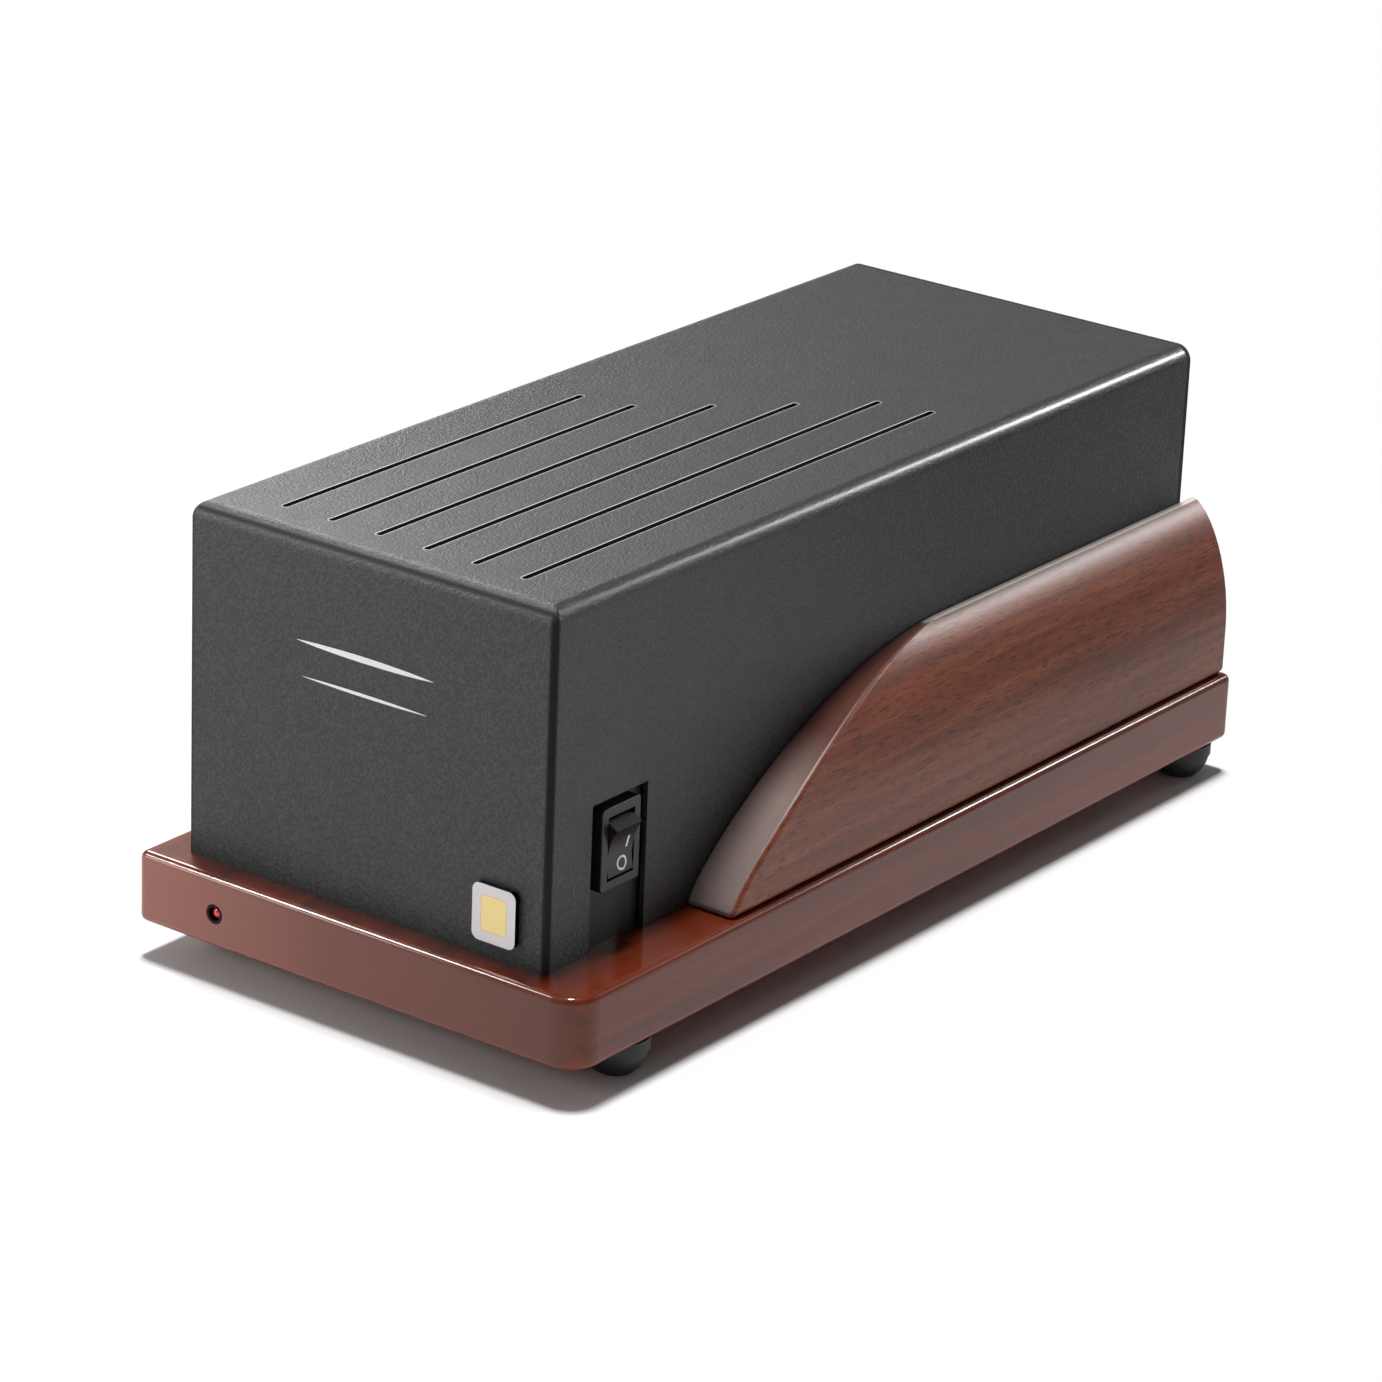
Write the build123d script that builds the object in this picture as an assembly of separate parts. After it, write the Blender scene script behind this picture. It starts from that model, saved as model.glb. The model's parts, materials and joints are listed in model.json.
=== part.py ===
from build123d import *
import math
import os

# A table-top valve phono preamplifier: a wooden base with a wooden side fin, a black sheet-steel
# cover over a steel tray, and the circuit, valves and mains parts inside.
# Millimetres. +X is the fin's side, +Y is the back, +Z is up. The origin is on the surface the feet
# stand on, under the centre of the base.

# --- wooden base ---
base_width = 147.0
base_depth = 309.0
base_thickness = 20.0
base_switch_corner_radius = 9.0
base_corner_radius = 2.5
base_edge_radius = 2.0

# --- rubber feet ---
foot_height = 10.0
foot_radius = 9.0
foot_collar_height = 3.5
foot_dome_radius = 8.6
foot_bulge_radius = 7.3
foot_bulge_height = 2.4
foot_tip_radius = 5.0
foot_recess_radius = 3.8
foot_recess_depth = 5.0
foot_side_inset = 9.5
foot_front_inset = 28.8
foot_rear_inset = 10.8

# --- steel cover ---
cover_width = 120.0
cover_depth = 292.0
cover_height = 97.8
cover_left_margin = 10.0
cover_front_margin = 8.5
sheet = 1.5
cover_top_radius = 4.5
cover_corner_radius = 2.0
slot_width = 2.5
slot_pitch = 15.7
slot_front_gap = 12.5
slot_lengths = (125.0, 128.0, 143.0, 160.0, 177.0, 180.0)
notch_front_gap = 17.3
notch_width = 22.9
notch_height = 41.0
lug_width = 11.0
lug_height = 14.0
lug_thickness = 3.0
lug_end_gap = 8.0

# --- wooden fin beside the cover ---
fin_thickness = 14.6
fin_height = 51.0
fin_front_gap = 58.8
fin_rear_inset = 2.5
fin_flat_height = 14.0
fin_curve_rise = 18.5
fin_curve_run = 7.0
fin_crest_slope = 25.0
fin_top_width = 1.0
fin_sweep_length = 111.0
fin_sweep_rise = 9.0
fin_sweep_run = 57.0
fin_foot_radius = 2.3
fin_ridge_radius = 1.4
fin_screw_shares = (0.16, 0.42, 0.68)
fin_cover_gap = 0.3

# --- chassis tray and rear panel ---
tray_gap = 1.0
tray_lip_height = 12.0
tray_screw_inset = 9.0
tray_screw_front_gap = 50.0
tray_screw_rear_gap = 28.0
panel_recess = 6.0
panel_gap = 0.4
panel_flange = 12.0

# --- screws ---
screw_radius = 1.5
screw_head_radius = 2.8
screw_head_height = 1.8
screw_head_round = 0.6
screw_socket_radius = 1.1
screw_socket_depth = 1.2
wood_screw_radius = 1.75
wood_screw_head_radius = 3.4
wood_screw_length = 13.0
fin_screw_length = 32.0
cover_screw_length = 6.0
bracket_screw_length = 3.0
inlet_screw_length = 6.0
board_screw_length = 5.6
hole_clearance = 0.3
thread_clearance = 0.05

# --- mains rocker switch ---
bracket_end_gap = 7.0
bracket_height = 48.0
bracket_foot = 16.0
switch_width = 15.8
switch_height = 22.8
switch_rise = 16.1
switch_front_gap = 3.1
switch_proud = 1.0
switch_corner_radius = 0.9
switch_edge_radius = 0.3
switch_body_width = 12.9
switch_body_height = 19.6
switch_body_depth = 15.0
switch_wall = 1.0
rocker_clearance = 0.3
rocker_end_clearance = 0.5
rocker_pivot_depth = 5.0
rocker_ridge_inset = 1.4
rocker_ridge_proud = 1.5
rocker_valley_proud = 0.0
rocker_end_drop = 2.6
rocker_skirt_depth = 3.4
rocker_pin_radius = 1.2
rocker_pin_reach = 0.8
rocker_tilt = 10.0
terminal_width = 4.8
terminal_thickness = 0.8
terminal_length = 7.0
terminal_column_spacing = 6.4
terminal_row_spacing = 9.8

# --- pilot lamp ---
lamp_left_gap = 26.9
lamp_drop = 10.4
lamp_radius = 1.9
lamp_length = 4.4
lamp_recess = 0.5
holder_radius = 2.3
holder_flange_radius = 2.7
holder_flange = 0.8
holder_length = 9.0
wire_channel_radius = 2.2
wire_channel_depth = 26.0
wire_riser_radius = 1.8

# --- badge ---
badge_width = 13.9
badge_height = 15.7
badge_thickness = 1.6
badge_corner_radius = 2.2
badge_side_gap = 8.9
badge_rise = 4.7
badge_inlay_margin = 2.9
badge_inlay_radius = 0.9
badge_inlay_depth = 0.8

# --- phono sockets on the rear panel ---
phono_columns = (8.5, 28.5)
phono_rows = (30.0, 60.0)
phono_shell_radius = 4.15
phono_shell_bore = 3.5
phono_shell_length = 8.0
phono_flange_radius = 6.0
phono_flange = 1.5
phono_thread_radius = 4.0
phono_thread_length = 9.0
phono_contact_bore = 1.65
phono_contact_radius = 1.1
phono_insulator_inset = 1.2
phono_nut_radius = 6.2
phono_nut = 2.4

# --- earth terminal ---
earth_column = 46.0
earth_row = 30.0
earth_stud_radius = 2.0
earth_stud_length = 13.5
earth_nut_radius = 4.0
earth_nut = 3.2
earth_washer_radius = 4.6
earth_washer = 1.0
thumb_nut_radius = 6.0
thumb_nut = 5.0
thumb_nut_grooves = 20
thumb_nut_groove_depth = 0.5

# --- selector slide switch ---
selector_column = 46.0
selector_row = 60.0
selector_travel = 4.0
selector_knob_width = 4.0
selector_knob_height = 3.4
selector_knob_proud = 3.0
selector_body_width = 20.0
selector_body_height = 7.0
selector_body_depth = 7.0
selector_slot_depth = 3.5
selector_edge_radius = 0.3

# --- mains inlet with fuse drawer ---
inlet_side_gap = 11.0
inlet_rise = 26.0
inlet_width = 44.0
inlet_height = 36.0
inlet_corner_radius = 3.0
inlet_flange = 3.0
inlet_body_width = 28.0
inlet_body_height = 32.0
inlet_body_depth = 22.0
inlet_screw_spacing = 36.0
cavity_width = 24.4
cavity_height = 16.2
cavity_depth = 17.0
cavity_chamfer = 4.0
cavity_rise = 2.4
blade_width = 2.0
blade_height = 4.0
blade_length = 11.5
blade_tail = 8.0
blade_spacing = 7.0
blade_offset = 2.0
drawer_width = 22.0
drawer_height = 7.6
drawer_depth = 20.0
drawer_gap = 0.25
drawer_front = 2.0
drawer_edge_radius = 0.5
drawer_front_margin = 1.4
drawer_rise = 21.6
drawer_wall = 0.9
fuse_radius = 2.4
fuse_glass_radius = 2.2
fuse_wall = 0.4
fuse_length = 17.0
fuse_cap_length = 4.0

# --- mains transformer ---
transformer_radius = 34.0
transformer_bore = 11.0
transformer_height = 32.0
transformer_edge_radius = 7.0
transformer_side_gap = 6.0
transformer_rear_gap = 40.0
pad_thickness = 2.0
dish_radius = 26.0
dish_thickness = 1.5
dish_dip = 5.0
dish_floor_radius = 6.5
dish_shoulder_radius = 9.5
bolt_radius = 3.0
bolt_head_radius = 5.0
bolt_head_height = 4.0

# --- circuit board and what stands on it ---
board_side_gap = 5.0
board_front_gap = 12.0
board_rear_gap = 6.0
board_width = 78.0
board_thickness = 1.6
standoff_height = 8.0
standoff_radius = 3.0
standoff_inset = 5.0
row_end_gap = 16.0
valve_count = 3
valve_column = 46.0
valve_socket_radius = 11.0
valve_socket_height = 8.0
valve_socket_bore = 3.0
valve_socket_round = 0.6
valve_radius = 10.5
valve_height = 46.0
valve_wall = 0.9
valve_tip_radius = 2.4
valve_pin_count = 9
valve_pin_circle = 5.95
valve_pin_pitch = 36.0
valve_pin_radius = 0.5
valve_pin_length = 6.0
valve_anode_spacing = 4.5
valve_anode_width = 3.6
valve_anode_round = 0.9
valve_anode_depth = 5.0
valve_anode_height = 24.0
mica_radius = 8.6
mica_thickness = 0.6
electrolytic_radius = 11.0
electrolytic_height = 36.0
electrolytic_round = 0.6
electrolytic_column = 15.0
electrolytic_count = 4
film_width = 8.0
film_depth = 20.0
film_height = 15.0
film_round = 1.0
film_column = 65.0
film_count = 4
sink_width = 30.0
sink_depth = 14.0
sink_height = 26.0
sink_fins = 6
sink_fin_width = 1.4
sink_back = 3.0
regulator_width = 10.0
regulator_height = 15.0
regulator_thickness = 4.5
regulator_spacing = 13.8
regulator_rise = 4.5
resistor_radius = 1.3
resistor_length = 7.0
resistor_lift = 1.3
resistor_lead_radius = 0.35
resistor_columns = (29.0, 32.0, 59.0)
resistor_rows = 5
seat_gap = 0.05

# --- places worked out from the sizes above ---
base_top = foot_height + base_thickness
cover_left = -base_width / 2 + cover_left_margin
cover_right = cover_left + cover_width
cover_front = -base_depth / 2 + cover_front_margin
cover_rear = cover_front + cover_depth
cover_top = base_top + cover_height
cover_middle = (cover_left + cover_right) / 2

tray_left = cover_left + sheet + tray_gap
tray_right = cover_right - sheet - tray_gap
tray_front = cover_front + sheet + tray_gap
tray_top = base_top + sheet
panel_outer = cover_rear - panel_recess
panel_inner = panel_outer - sheet
panel_left = cover_left + sheet + panel_gap
panel_right = cover_right - sheet - panel_gap
panel_top = cover_top - sheet - panel_gap

notch_front = cover_front + notch_front_gap
notch_rear = notch_front + notch_width
bracket_outer = tray_right
bracket_inner = bracket_outer - sheet
switch_y = notch_front + switch_front_gap + switch_width / 2
switch_z = base_top + switch_rise + switch_height / 2
switch_front = cover_right + switch_proud
rocker_opening_width = switch_body_width - 2 * switch_wall
rocker_opening_height = switch_body_height - 2 * switch_wall
rocker_half_height = rocker_opening_height / 2 - rocker_end_clearance
rocker_ridge_offset = rocker_half_height - rocker_ridge_inset
rocker_pivot_x = switch_front - rocker_pivot_depth

fin_inner = cover_right + fin_cover_gap
fin_front = cover_front + fin_front_gap
fin_rear = base_depth / 2 - fin_rear_inset

foot_places = [
    (side * (base_width / 2 - foot_side_inset), y)
    for y in (-base_depth / 2 + foot_front_inset, base_depth / 2 - foot_rear_inset)
    for side in (-1, 1)
]
foot_names = ("front_left_foot", "front_right_foot", "rear_left_foot", "rear_right_foot")

lamp_x = -base_width / 2 + lamp_left_gap
lamp_z = base_top - lamp_drop
lamp_face = -base_depth / 2
wire_riser_y = lamp_face + wire_channel_depth - 2 * wire_riser_radius

phono_places = [
    (panel_left + column, tray_top + row) for row in phono_rows for column in phono_columns
]
earth_x = panel_left + earth_column
earth_z = tray_top + earth_row
selector_x = panel_left + selector_column
selector_z = tray_top + selector_row
inlet_x = panel_right - inlet_side_gap - inlet_width / 2
inlet_z = tray_top + inlet_rise
cavity_z = inlet_z - inlet_body_height / 2 + cavity_rise + cavity_height / 2
drawer_z = inlet_z - inlet_body_height / 2 + drawer_rise + drawer_height / 2
inlet_face = panel_outer + inlet_flange

transformer_x = tray_right - transformer_side_gap - transformer_radius
transformer_y = panel_inner - transformer_rear_gap - transformer_radius
transformer_base = tray_top + pad_thickness

board_left = tray_left + board_side_gap
board_front = tray_front + board_front_gap
board_bottom = tray_top + standoff_height
board_top = board_bottom + board_thickness
board_depth = transformer_y - transformer_radius - board_rear_gap - board_front
row_front = board_front + row_end_gap
row_pitch = (board_depth - 2 * row_end_gap) / (electrolytic_count - 1)
valve_places = [
    (board_left + valve_column, row_front + i * row_pitch)
    for i in range(valve_count)
]
electrolytic_places = [
    (board_left + electrolytic_column, row_front + i * row_pitch)
    for i in range(electrolytic_count)
]
film_places = [
    (board_left + film_column, row_front + i * row_pitch)
    for i in range(film_count)
]
resistor_places = [
    (board_left + column, row_front + i * row_pitch / 2)
    for column in resistor_columns
    for i in range(resistor_rows)
]
standoff_places = [
    (x, y)
    for x in (board_left + standoff_inset, board_left + board_width - standoff_inset)
    for y in (
        board_front + standoff_inset,
        board_front + board_depth / 2,
        board_front + board_depth - standoff_inset,
    )
]
tray_screw_places = [
    (x, y)
    for x in (tray_left + tray_screw_inset, tray_right - tray_screw_inset)
    for y in (tray_front + tray_screw_front_gap, panel_inner - tray_screw_rear_gap)
]
panel_screw_places = [
    (x, panel_inner - panel_flange / 2)
    for x in (panel_left + tray_screw_inset, cover_middle, panel_right - tray_screw_inset)
]
bracket_screw_places = [
    (bracket_inner - bracket_foot / 2, y)
    for y in (notch_front + screw_head_radius, notch_rear - screw_head_radius)
]
lug_places = [
    (x, z)
    for x in (cover_left + sheet + lug_width / 2, cover_right - sheet - lug_width / 2)
    for z in (
        base_top + lug_end_gap + lug_height / 2,
        cover_top - sheet - lug_end_gap - lug_height / 2,
    )
]
fin_screw_places = [
    (fin_inner + fin_thickness / 2, fin_rear - (fin_rear - fin_front) * share)
    for share in fin_screw_shares
]


def block(x_low, x_high, y_low, y_high, z_low, z_high):
    """A box between two corners."""
    size = Box(x_high - x_low, y_high - y_low, z_high - z_low, align=Align.MIN)
    return Pos(x_low, y_low, z_low) * size


def upright(x, y, z_low, z_high, radius):
    """A round post along Z."""
    bottom = (Align.CENTER, Align.CENTER, Align.MIN)
    return Pos(x, y, z_low) * Cylinder(radius, z_high - z_low, align=bottom)


def lengthwise(x, z, y_low, y_high, radius):
    """A round bar along Y."""
    bottom = (Align.CENTER, Align.CENTER, Align.MIN)
    return Pos(x, y_low, z) * Rot(-90, 0, 0) * Cylinder(radius, y_high - y_low, align=bottom)


def hexagon(x, z, y_low, y_high, radius):
    """A hexagonal bar along Y, radius to its corners."""
    bar = extrude(RegularPolygon(radius, 6), y_high - y_low)
    return Pos(x, y_low, z) * Rot(-90, 0, 0) * bar


def screw(shank_radius, length, head_radius, head_height):
    """A socket-head screw whose head stands on the plane Z=0 and whose shank points down."""
    head = upright(0, 0, 0, head_height, head_radius)
    head = fillet(head.edges().group_by(Axis.Z)[-1], screw_head_round)
    socket = extrude(RegularPolygon(screw_socket_radius, 6), screw_socket_depth)
    shank = upright(0, 0, -length, 0, shank_radius)
    return head + shank - Pos(0, 0, head_height - screw_socket_depth) * socket


def small_screw(length):
    return screw(screw_radius, length, screw_head_radius, screw_head_height)


def wood_screw(length):
    return screw(wood_screw_radius, length, wood_screw_head_radius, screw_head_height)


def group(solids):
    """Several separate solids kept as one node."""
    return Compound(children=[Solid(s.solid().wrapped) for s in solids])


def wood_base():
    slab = block(
        -base_width / 2, base_width / 2, -base_depth / 2, base_depth / 2, foot_height, base_top
    )
    switch_corner = slab.edges().filter_by(Axis.Z).group_by(Axis.X)[-1].sort_by(Axis.Y)[0]
    slab = fillet(switch_corner, base_switch_corner_radius)
    corners = [e for e in slab.edges().filter_by(Axis.Z) if abs(e.center().X) == base_width / 2]
    slab = fillet(corners, base_corner_radius)
    rims = slab.edges().group_by(Axis.Z)[-1] + slab.edges().group_by(Axis.Z)[0]
    slab = fillet(rims, base_edge_radius)
    pilot = wood_screw_radius + thread_clearance
    foot_pilot_top = foot_recess_depth + wood_screw_length
    for x, y in foot_places:
        slab -= upright(x, y, foot_height, foot_pilot_top + hole_clearance, pilot)
    for x, y in tray_screw_places + panel_screw_places:
        slab -= upright(x, y, base_top - wood_screw_length, base_top, pilot)
    for x, y in fin_screw_places:
        head = wood_screw_head_radius + hole_clearance
        head_top = foot_height + screw_head_height + hole_clearance
        slab -= upright(x, y, foot_height, base_top, wood_screw_radius + thread_clearance)
        slab -= upright(x, y, foot_height, head_top, head)
    nut_pocket = bolt_head_radius + hole_clearance
    pocket_floor = base_top - bolt_head_height - hole_clearance
    slab -= upright(transformer_x, transformer_y, pocket_floor, base_top, nut_pocket)
    flange_seat = lamp_face + holder_flange
    holder_end = lamp_face + holder_length
    channel_end = lamp_face + wire_channel_depth
    slab -= lengthwise(lamp_x, lamp_z, lamp_face, flange_seat, holder_flange_radius + seat_gap)
    slab -= lengthwise(lamp_x, lamp_z, lamp_face, holder_end, holder_radius + seat_gap)
    slab -= lengthwise(lamp_x, lamp_z, holder_end, channel_end, wire_channel_radius)
    slab -= upright(lamp_x, wire_riser_y, lamp_z, base_top, wire_riser_radius)
    return slab


def wood_fin():
    """A long moulding whose front end is cut down to the base in one sweep."""
    outer = fin_inner + fin_thickness
    crest = (fin_inner + fin_top_width, base_top + fin_height)
    flat_top = (outer, base_top + fin_flat_height)
    slope = math.radians(fin_crest_slope)
    shoulder = Bezier(
        flat_top,
        (outer, flat_top[1] + fin_curve_rise),
        (crest[0] + fin_curve_run * math.cos(slope), crest[1] - fin_curve_run * math.sin(slope)),
        crest,
    )
    rim = Polyline(crest, (fin_inner, crest[1]), (fin_inner, base_top), (outer, base_top), flat_top)
    section = make_face(Plane.XZ * Wire([shoulder, *rim.edges()]))
    moulding = extrude(Pos(0, fin_front, 0) * section, fin_rear - fin_front, dir=(0, 1, 0))
    foot_edge = [
        e
        for e in moulding.edges().filter_by(Axis.Y)
        if abs(e.center().X - outer) < seat_gap and abs(e.center().Z - base_top) < seat_gap
    ]
    moulding = fillet(foot_edge, fin_foot_radius)
    toe = (fin_front, base_top)
    crown = (fin_front + fin_sweep_length, base_top + fin_height)
    sweep = Bezier(
        toe,
        (toe[0], toe[1] + fin_sweep_rise),
        (crown[0] - fin_sweep_run, crown[1]),
        crown,
    )
    outline = [
        sweep,
        Line(crown, (fin_rear, crown[1])),
        Line((fin_rear, crown[1]), (fin_rear, toe[1])),
        Line((fin_rear, toe[1]), toe),
    ]
    side = make_face(Plane.YZ * Wire(outline))
    moulding &= extrude(Pos(fin_inner, 0, 0) * side, fin_thickness, dir=(1, 0, 0))
    cut = moulding.faces().sort_by(Axis.Y)[0].edges()
    toe_edge = cut.sort_by(Axis.Z)[0]
    ridge = [e for e in cut if min(e @ 0, e @ 1, key=lambda p: p.X).X > fin_inner + seat_gap]
    moulding = fillet([toe_edge, *ridge], fin_ridge_radius)
    for x, y in fin_screw_places:
        tip = foot_height + screw_head_height + fin_screw_length + hole_clearance
        moulding -= upright(x, y, base_top, tip, wood_screw_radius + thread_clearance)
    return moulding


def fin_screws():
    seat = foot_height + screw_head_height
    turned = [Pos(x, y, seat) * Rot(180, 0, 0) for x, y in fin_screw_places]
    return group([place * wood_screw(fin_screw_length) for place in turned])


def foot(x, y):
    """A rubber foot: a collar, a domed tip and a recess for its screw."""
    dome_top = foot_height - foot_collar_height
    collar = upright(x, y, dome_top, foot_height, foot_radius)
    profile = [
        Line((0, 0), (foot_tip_radius, 0)),
        ThreePointArc(
            (foot_tip_radius, 0),
            (foot_bulge_radius, foot_bulge_height),
            (foot_dome_radius, dome_top),
        ),
        Line((foot_dome_radius, dome_top), (0, dome_top)),
        Line((0, dome_top), (0, 0)),
    ]
    tip = revolve(make_face(Plane.XZ * Wire(profile)), Axis.Z)
    body = collar + Pos(x, y, 0) * tip
    body -= upright(x, y, 0, foot_recess_depth, foot_recess_radius)
    return body - upright(x, y, 0, foot_height, wood_screw_radius + thread_clearance)


def foot_screws():
    turned = [Pos(x, y, foot_recess_depth) * Rot(180, 0, 0) for x, y in foot_places]
    return group([place * wood_screw(wood_screw_length) for place in turned])


def cover_skin(inset):
    """The cover's outer or inner skin as a solid block, open ends running past the cover."""
    skin = block(
        cover_left + inset,
        cover_right - inset,
        cover_front + inset,
        cover_rear + inset,
        base_top - inset,
        cover_top - inset,
    )
    top_rim = skin.edges().group_by(Axis.Z)[-1]
    skin = fillet(top_rim.sort_by(Axis.Y)[:-1], cover_top_radius - inset)
    upright_edges = skin.edges().filter_by(Axis.Z).group_by(Axis.Y)[0]
    return fillet(upright_edges, cover_corner_radius - inset)


def cover():
    shell = cover_skin(0) - cover_skin(sheet)
    for i, length in enumerate(slot_lengths):
        x = cover_middle + (i - (len(slot_lengths) - 1) / 2) * slot_pitch
        y = cover_front + slot_front_gap + length / 2
        opening = Pos(x, y, cover_top - 2 * sheet) * SlotOverall(length, slot_width, rotation=90)
        shell -= extrude(opening, 3 * sheet)
    shell -= block(
        cover_right - 2 * sheet,
        cover_right + sheet,
        notch_front,
        notch_rear,
        base_top - sheet,
        base_top + notch_height,
    )
    for x, z in lug_places:
        lug = block(
            x - lug_width / 2,
            x + lug_width / 2,
            panel_inner - lug_thickness,
            panel_inner,
            z - lug_height / 2,
            z + lug_height / 2,
        )
        shell += lug
    for x, z in lug_places:
        hole = screw_radius + thread_clearance
        shell -= lengthwise(x, z, panel_inner - lug_thickness, panel_inner, hole)
    return shell


def cover_screws():
    turned = [Pos(x, panel_outer, z) * Rot(-90, 0, 0) for x, z in lug_places]
    return group([place * small_screw(cover_screw_length) for place in turned])


def chassis_tray():
    tray = block(tray_left, tray_right, tray_front, panel_outer, base_top, tray_top)
    lip_top = base_top + tray_lip_height
    tray += block(tray_left, tray_right, tray_front, tray_front + sheet, base_top, lip_top)
    for x, y in tray_screw_places + panel_screw_places:
        tray -= upright(x, y, base_top, tray_top, wood_screw_radius + hole_clearance)
    for x, y in bracket_screw_places + standoff_places:
        tray -= upright(x, y, base_top, tray_top, screw_radius + thread_clearance)
    tray -= upright(transformer_x, transformer_y, base_top, tray_top, bolt_radius + hole_clearance)
    return tray - upright(lamp_x, wire_riser_y, base_top, tray_top, wire_riser_radius)


def tray_screws():
    """The wood screws that hold the tray, and through it the rear panel, down on the base."""
    seats = [(x, y, tray_top) for x, y in tray_screw_places]
    seats += [(x, y, tray_top + sheet) for x, y in panel_screw_places]
    return group([Pos(*seat) * wood_screw(wood_screw_length) for seat in seats])


def rear_panel():
    panel = block(panel_left, panel_right, panel_inner, panel_outer, tray_top, panel_top)
    top_corners = panel.edges().filter_by(Axis.Y).group_by(Axis.Z)[-1]
    panel = fillet(top_corners, cover_top_radius - sheet)
    flange_top = tray_top + sheet
    flange_front = panel_inner - panel_flange
    panel += block(tray_left, tray_right, flange_front, panel_inner, tray_top, flange_top)
    for x, y in panel_screw_places:
        panel -= upright(x, y, tray_top, flange_top, wood_screw_radius + hole_clearance)
    for x, z in lug_places:
        panel -= lengthwise(x, z, panel_inner, panel_outer, screw_radius + hole_clearance)
    for x, z in phono_places:
        panel -= lengthwise(x, z, panel_inner, panel_outer, phono_thread_radius + seat_gap)
    panel -= lengthwise(earth_x, earth_z, panel_inner, panel_outer, earth_stud_radius + seat_gap)
    panel -= block(
        selector_x - (selector_knob_width + selector_travel) / 2 - hole_clearance,
        selector_x + (selector_knob_width + selector_travel) / 2 + hole_clearance,
        panel_inner,
        panel_outer,
        selector_z - selector_knob_height / 2 - hole_clearance,
        selector_z + selector_knob_height / 2 + hole_clearance,
    )
    panel -= block(
        inlet_x - inlet_body_width / 2 - hole_clearance,
        inlet_x + inlet_body_width / 2 + hole_clearance,
        panel_inner,
        panel_outer,
        inlet_z - inlet_body_height / 2 - hole_clearance,
        inlet_z + inlet_body_height / 2 + hole_clearance,
    )
    for side in (-1, 1):
        x = inlet_x + side * inlet_screw_spacing / 2
        hole = screw_radius + thread_clearance
        panel -= lengthwise(x, inlet_z, panel_inner, panel_outer, hole)
    return panel


def switch_bracket():
    y_low = notch_front - bracket_end_gap
    y_high = notch_rear + bracket_end_gap
    top = base_top + bracket_height
    bracket = block(bracket_inner, bracket_outer, y_low, y_high, tray_top, top)
    foot_left = bracket_inner - bracket_foot
    bracket += block(foot_left, bracket_inner, y_low, y_high, tray_top, tray_top + sheet)
    half_width = switch_body_width / 2 + seat_gap
    half_height = switch_body_height / 2 + seat_gap
    bracket -= block(
        bracket_inner,
        bracket_outer,
        switch_y - half_width,
        switch_y + half_width,
        switch_z - half_height,
        switch_z + half_height,
    )
    for x, y in bracket_screw_places:
        bracket -= upright(x, y, tray_top, tray_top + sheet, screw_radius + hole_clearance)
    return bracket


def bracket_screws():
    seat = tray_top + sheet
    turned = [Pos(x, y, seat) for x, y in bracket_screw_places]
    return group([place * small_screw(bracket_screw_length) for place in turned])


def switch_body():
    """A black moulded housing: a thick bezel outside the bracket and a box behind it."""
    body = block(
        bracket_outer,
        switch_front,
        switch_y - switch_width / 2,
        switch_y + switch_width / 2,
        switch_z - switch_height / 2,
        switch_z + switch_height / 2,
    )
    body = fillet(body.edges().filter_by(Axis.X), switch_corner_radius)
    body = fillet(body.faces().sort_by(Axis.X)[-1].edges(), switch_edge_radius)
    back = bracket_outer - switch_body_depth
    body += block(
        back,
        bracket_outer,
        switch_y - switch_body_width / 2,
        switch_y + switch_body_width / 2,
        switch_z - switch_body_height / 2,
        switch_z + switch_body_height / 2,
    )
    well_floor = rocker_pivot_x - rocker_skirt_depth - 2 * rocker_pin_radius
    body -= block(
        well_floor,
        switch_front + rocker_clearance,
        switch_y - rocker_opening_width / 2,
        switch_y + rocker_opening_width / 2,
        switch_z - rocker_opening_height / 2,
        switch_z + rocker_opening_height / 2,
    )
    reach = rocker_opening_width / 2 + rocker_pin_reach
    hole = rocker_pin_radius + thread_clearance
    return body - lengthwise(
        rocker_pivot_x, switch_z, switch_y - reach, switch_y + reach, hole
    )


def switch_rocker():
    """A rocker with a hollow face between two ridges, tilted to its off position."""
    half = rocker_half_height
    ridge = rocker_pivot_depth + rocker_ridge_proud
    valley = rocker_pivot_depth + rocker_valley_proud
    end = rocker_pivot_depth - rocker_end_drop
    face = [
        ThreePointArc((ridge, -rocker_ridge_offset), (valley, 0), (ridge, rocker_ridge_offset)),
        Line((ridge, rocker_ridge_offset), (end, half)),
        ThreePointArc((end, half), (-rocker_skirt_depth, 0), (end, -half)),
        Line((end, -half), (ridge, -rocker_ridge_offset)),
    ]
    width = rocker_opening_width - 2 * rocker_clearance
    paddle = extrude(make_face(Plane.XZ * Wire(face)), width / 2, both=True)
    reach = rocker_opening_width / 2 + rocker_pin_reach - rocker_clearance
    paddle += lengthwise(0, 0, -reach, reach, rocker_pin_radius)
    return Pos(rocker_pivot_x, switch_y, switch_z) * Rot(0, rocker_tilt, 0) * paddle


def switch_terminals():
    back = bracket_outer - switch_body_depth
    tabs = []
    for rise in (-1, 1):
        for side in (-1, 1):
            y = switch_y + side * terminal_column_spacing / 2
            z = switch_z + rise * terminal_row_spacing / 2
            tabs.append(
                block(
                    back - terminal_length,
                    back,
                    y - terminal_thickness / 2,
                    y + terminal_thickness / 2,
                    z - terminal_width / 2,
                    z + terminal_width / 2,
                )
            )
    return group(tabs)


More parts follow.
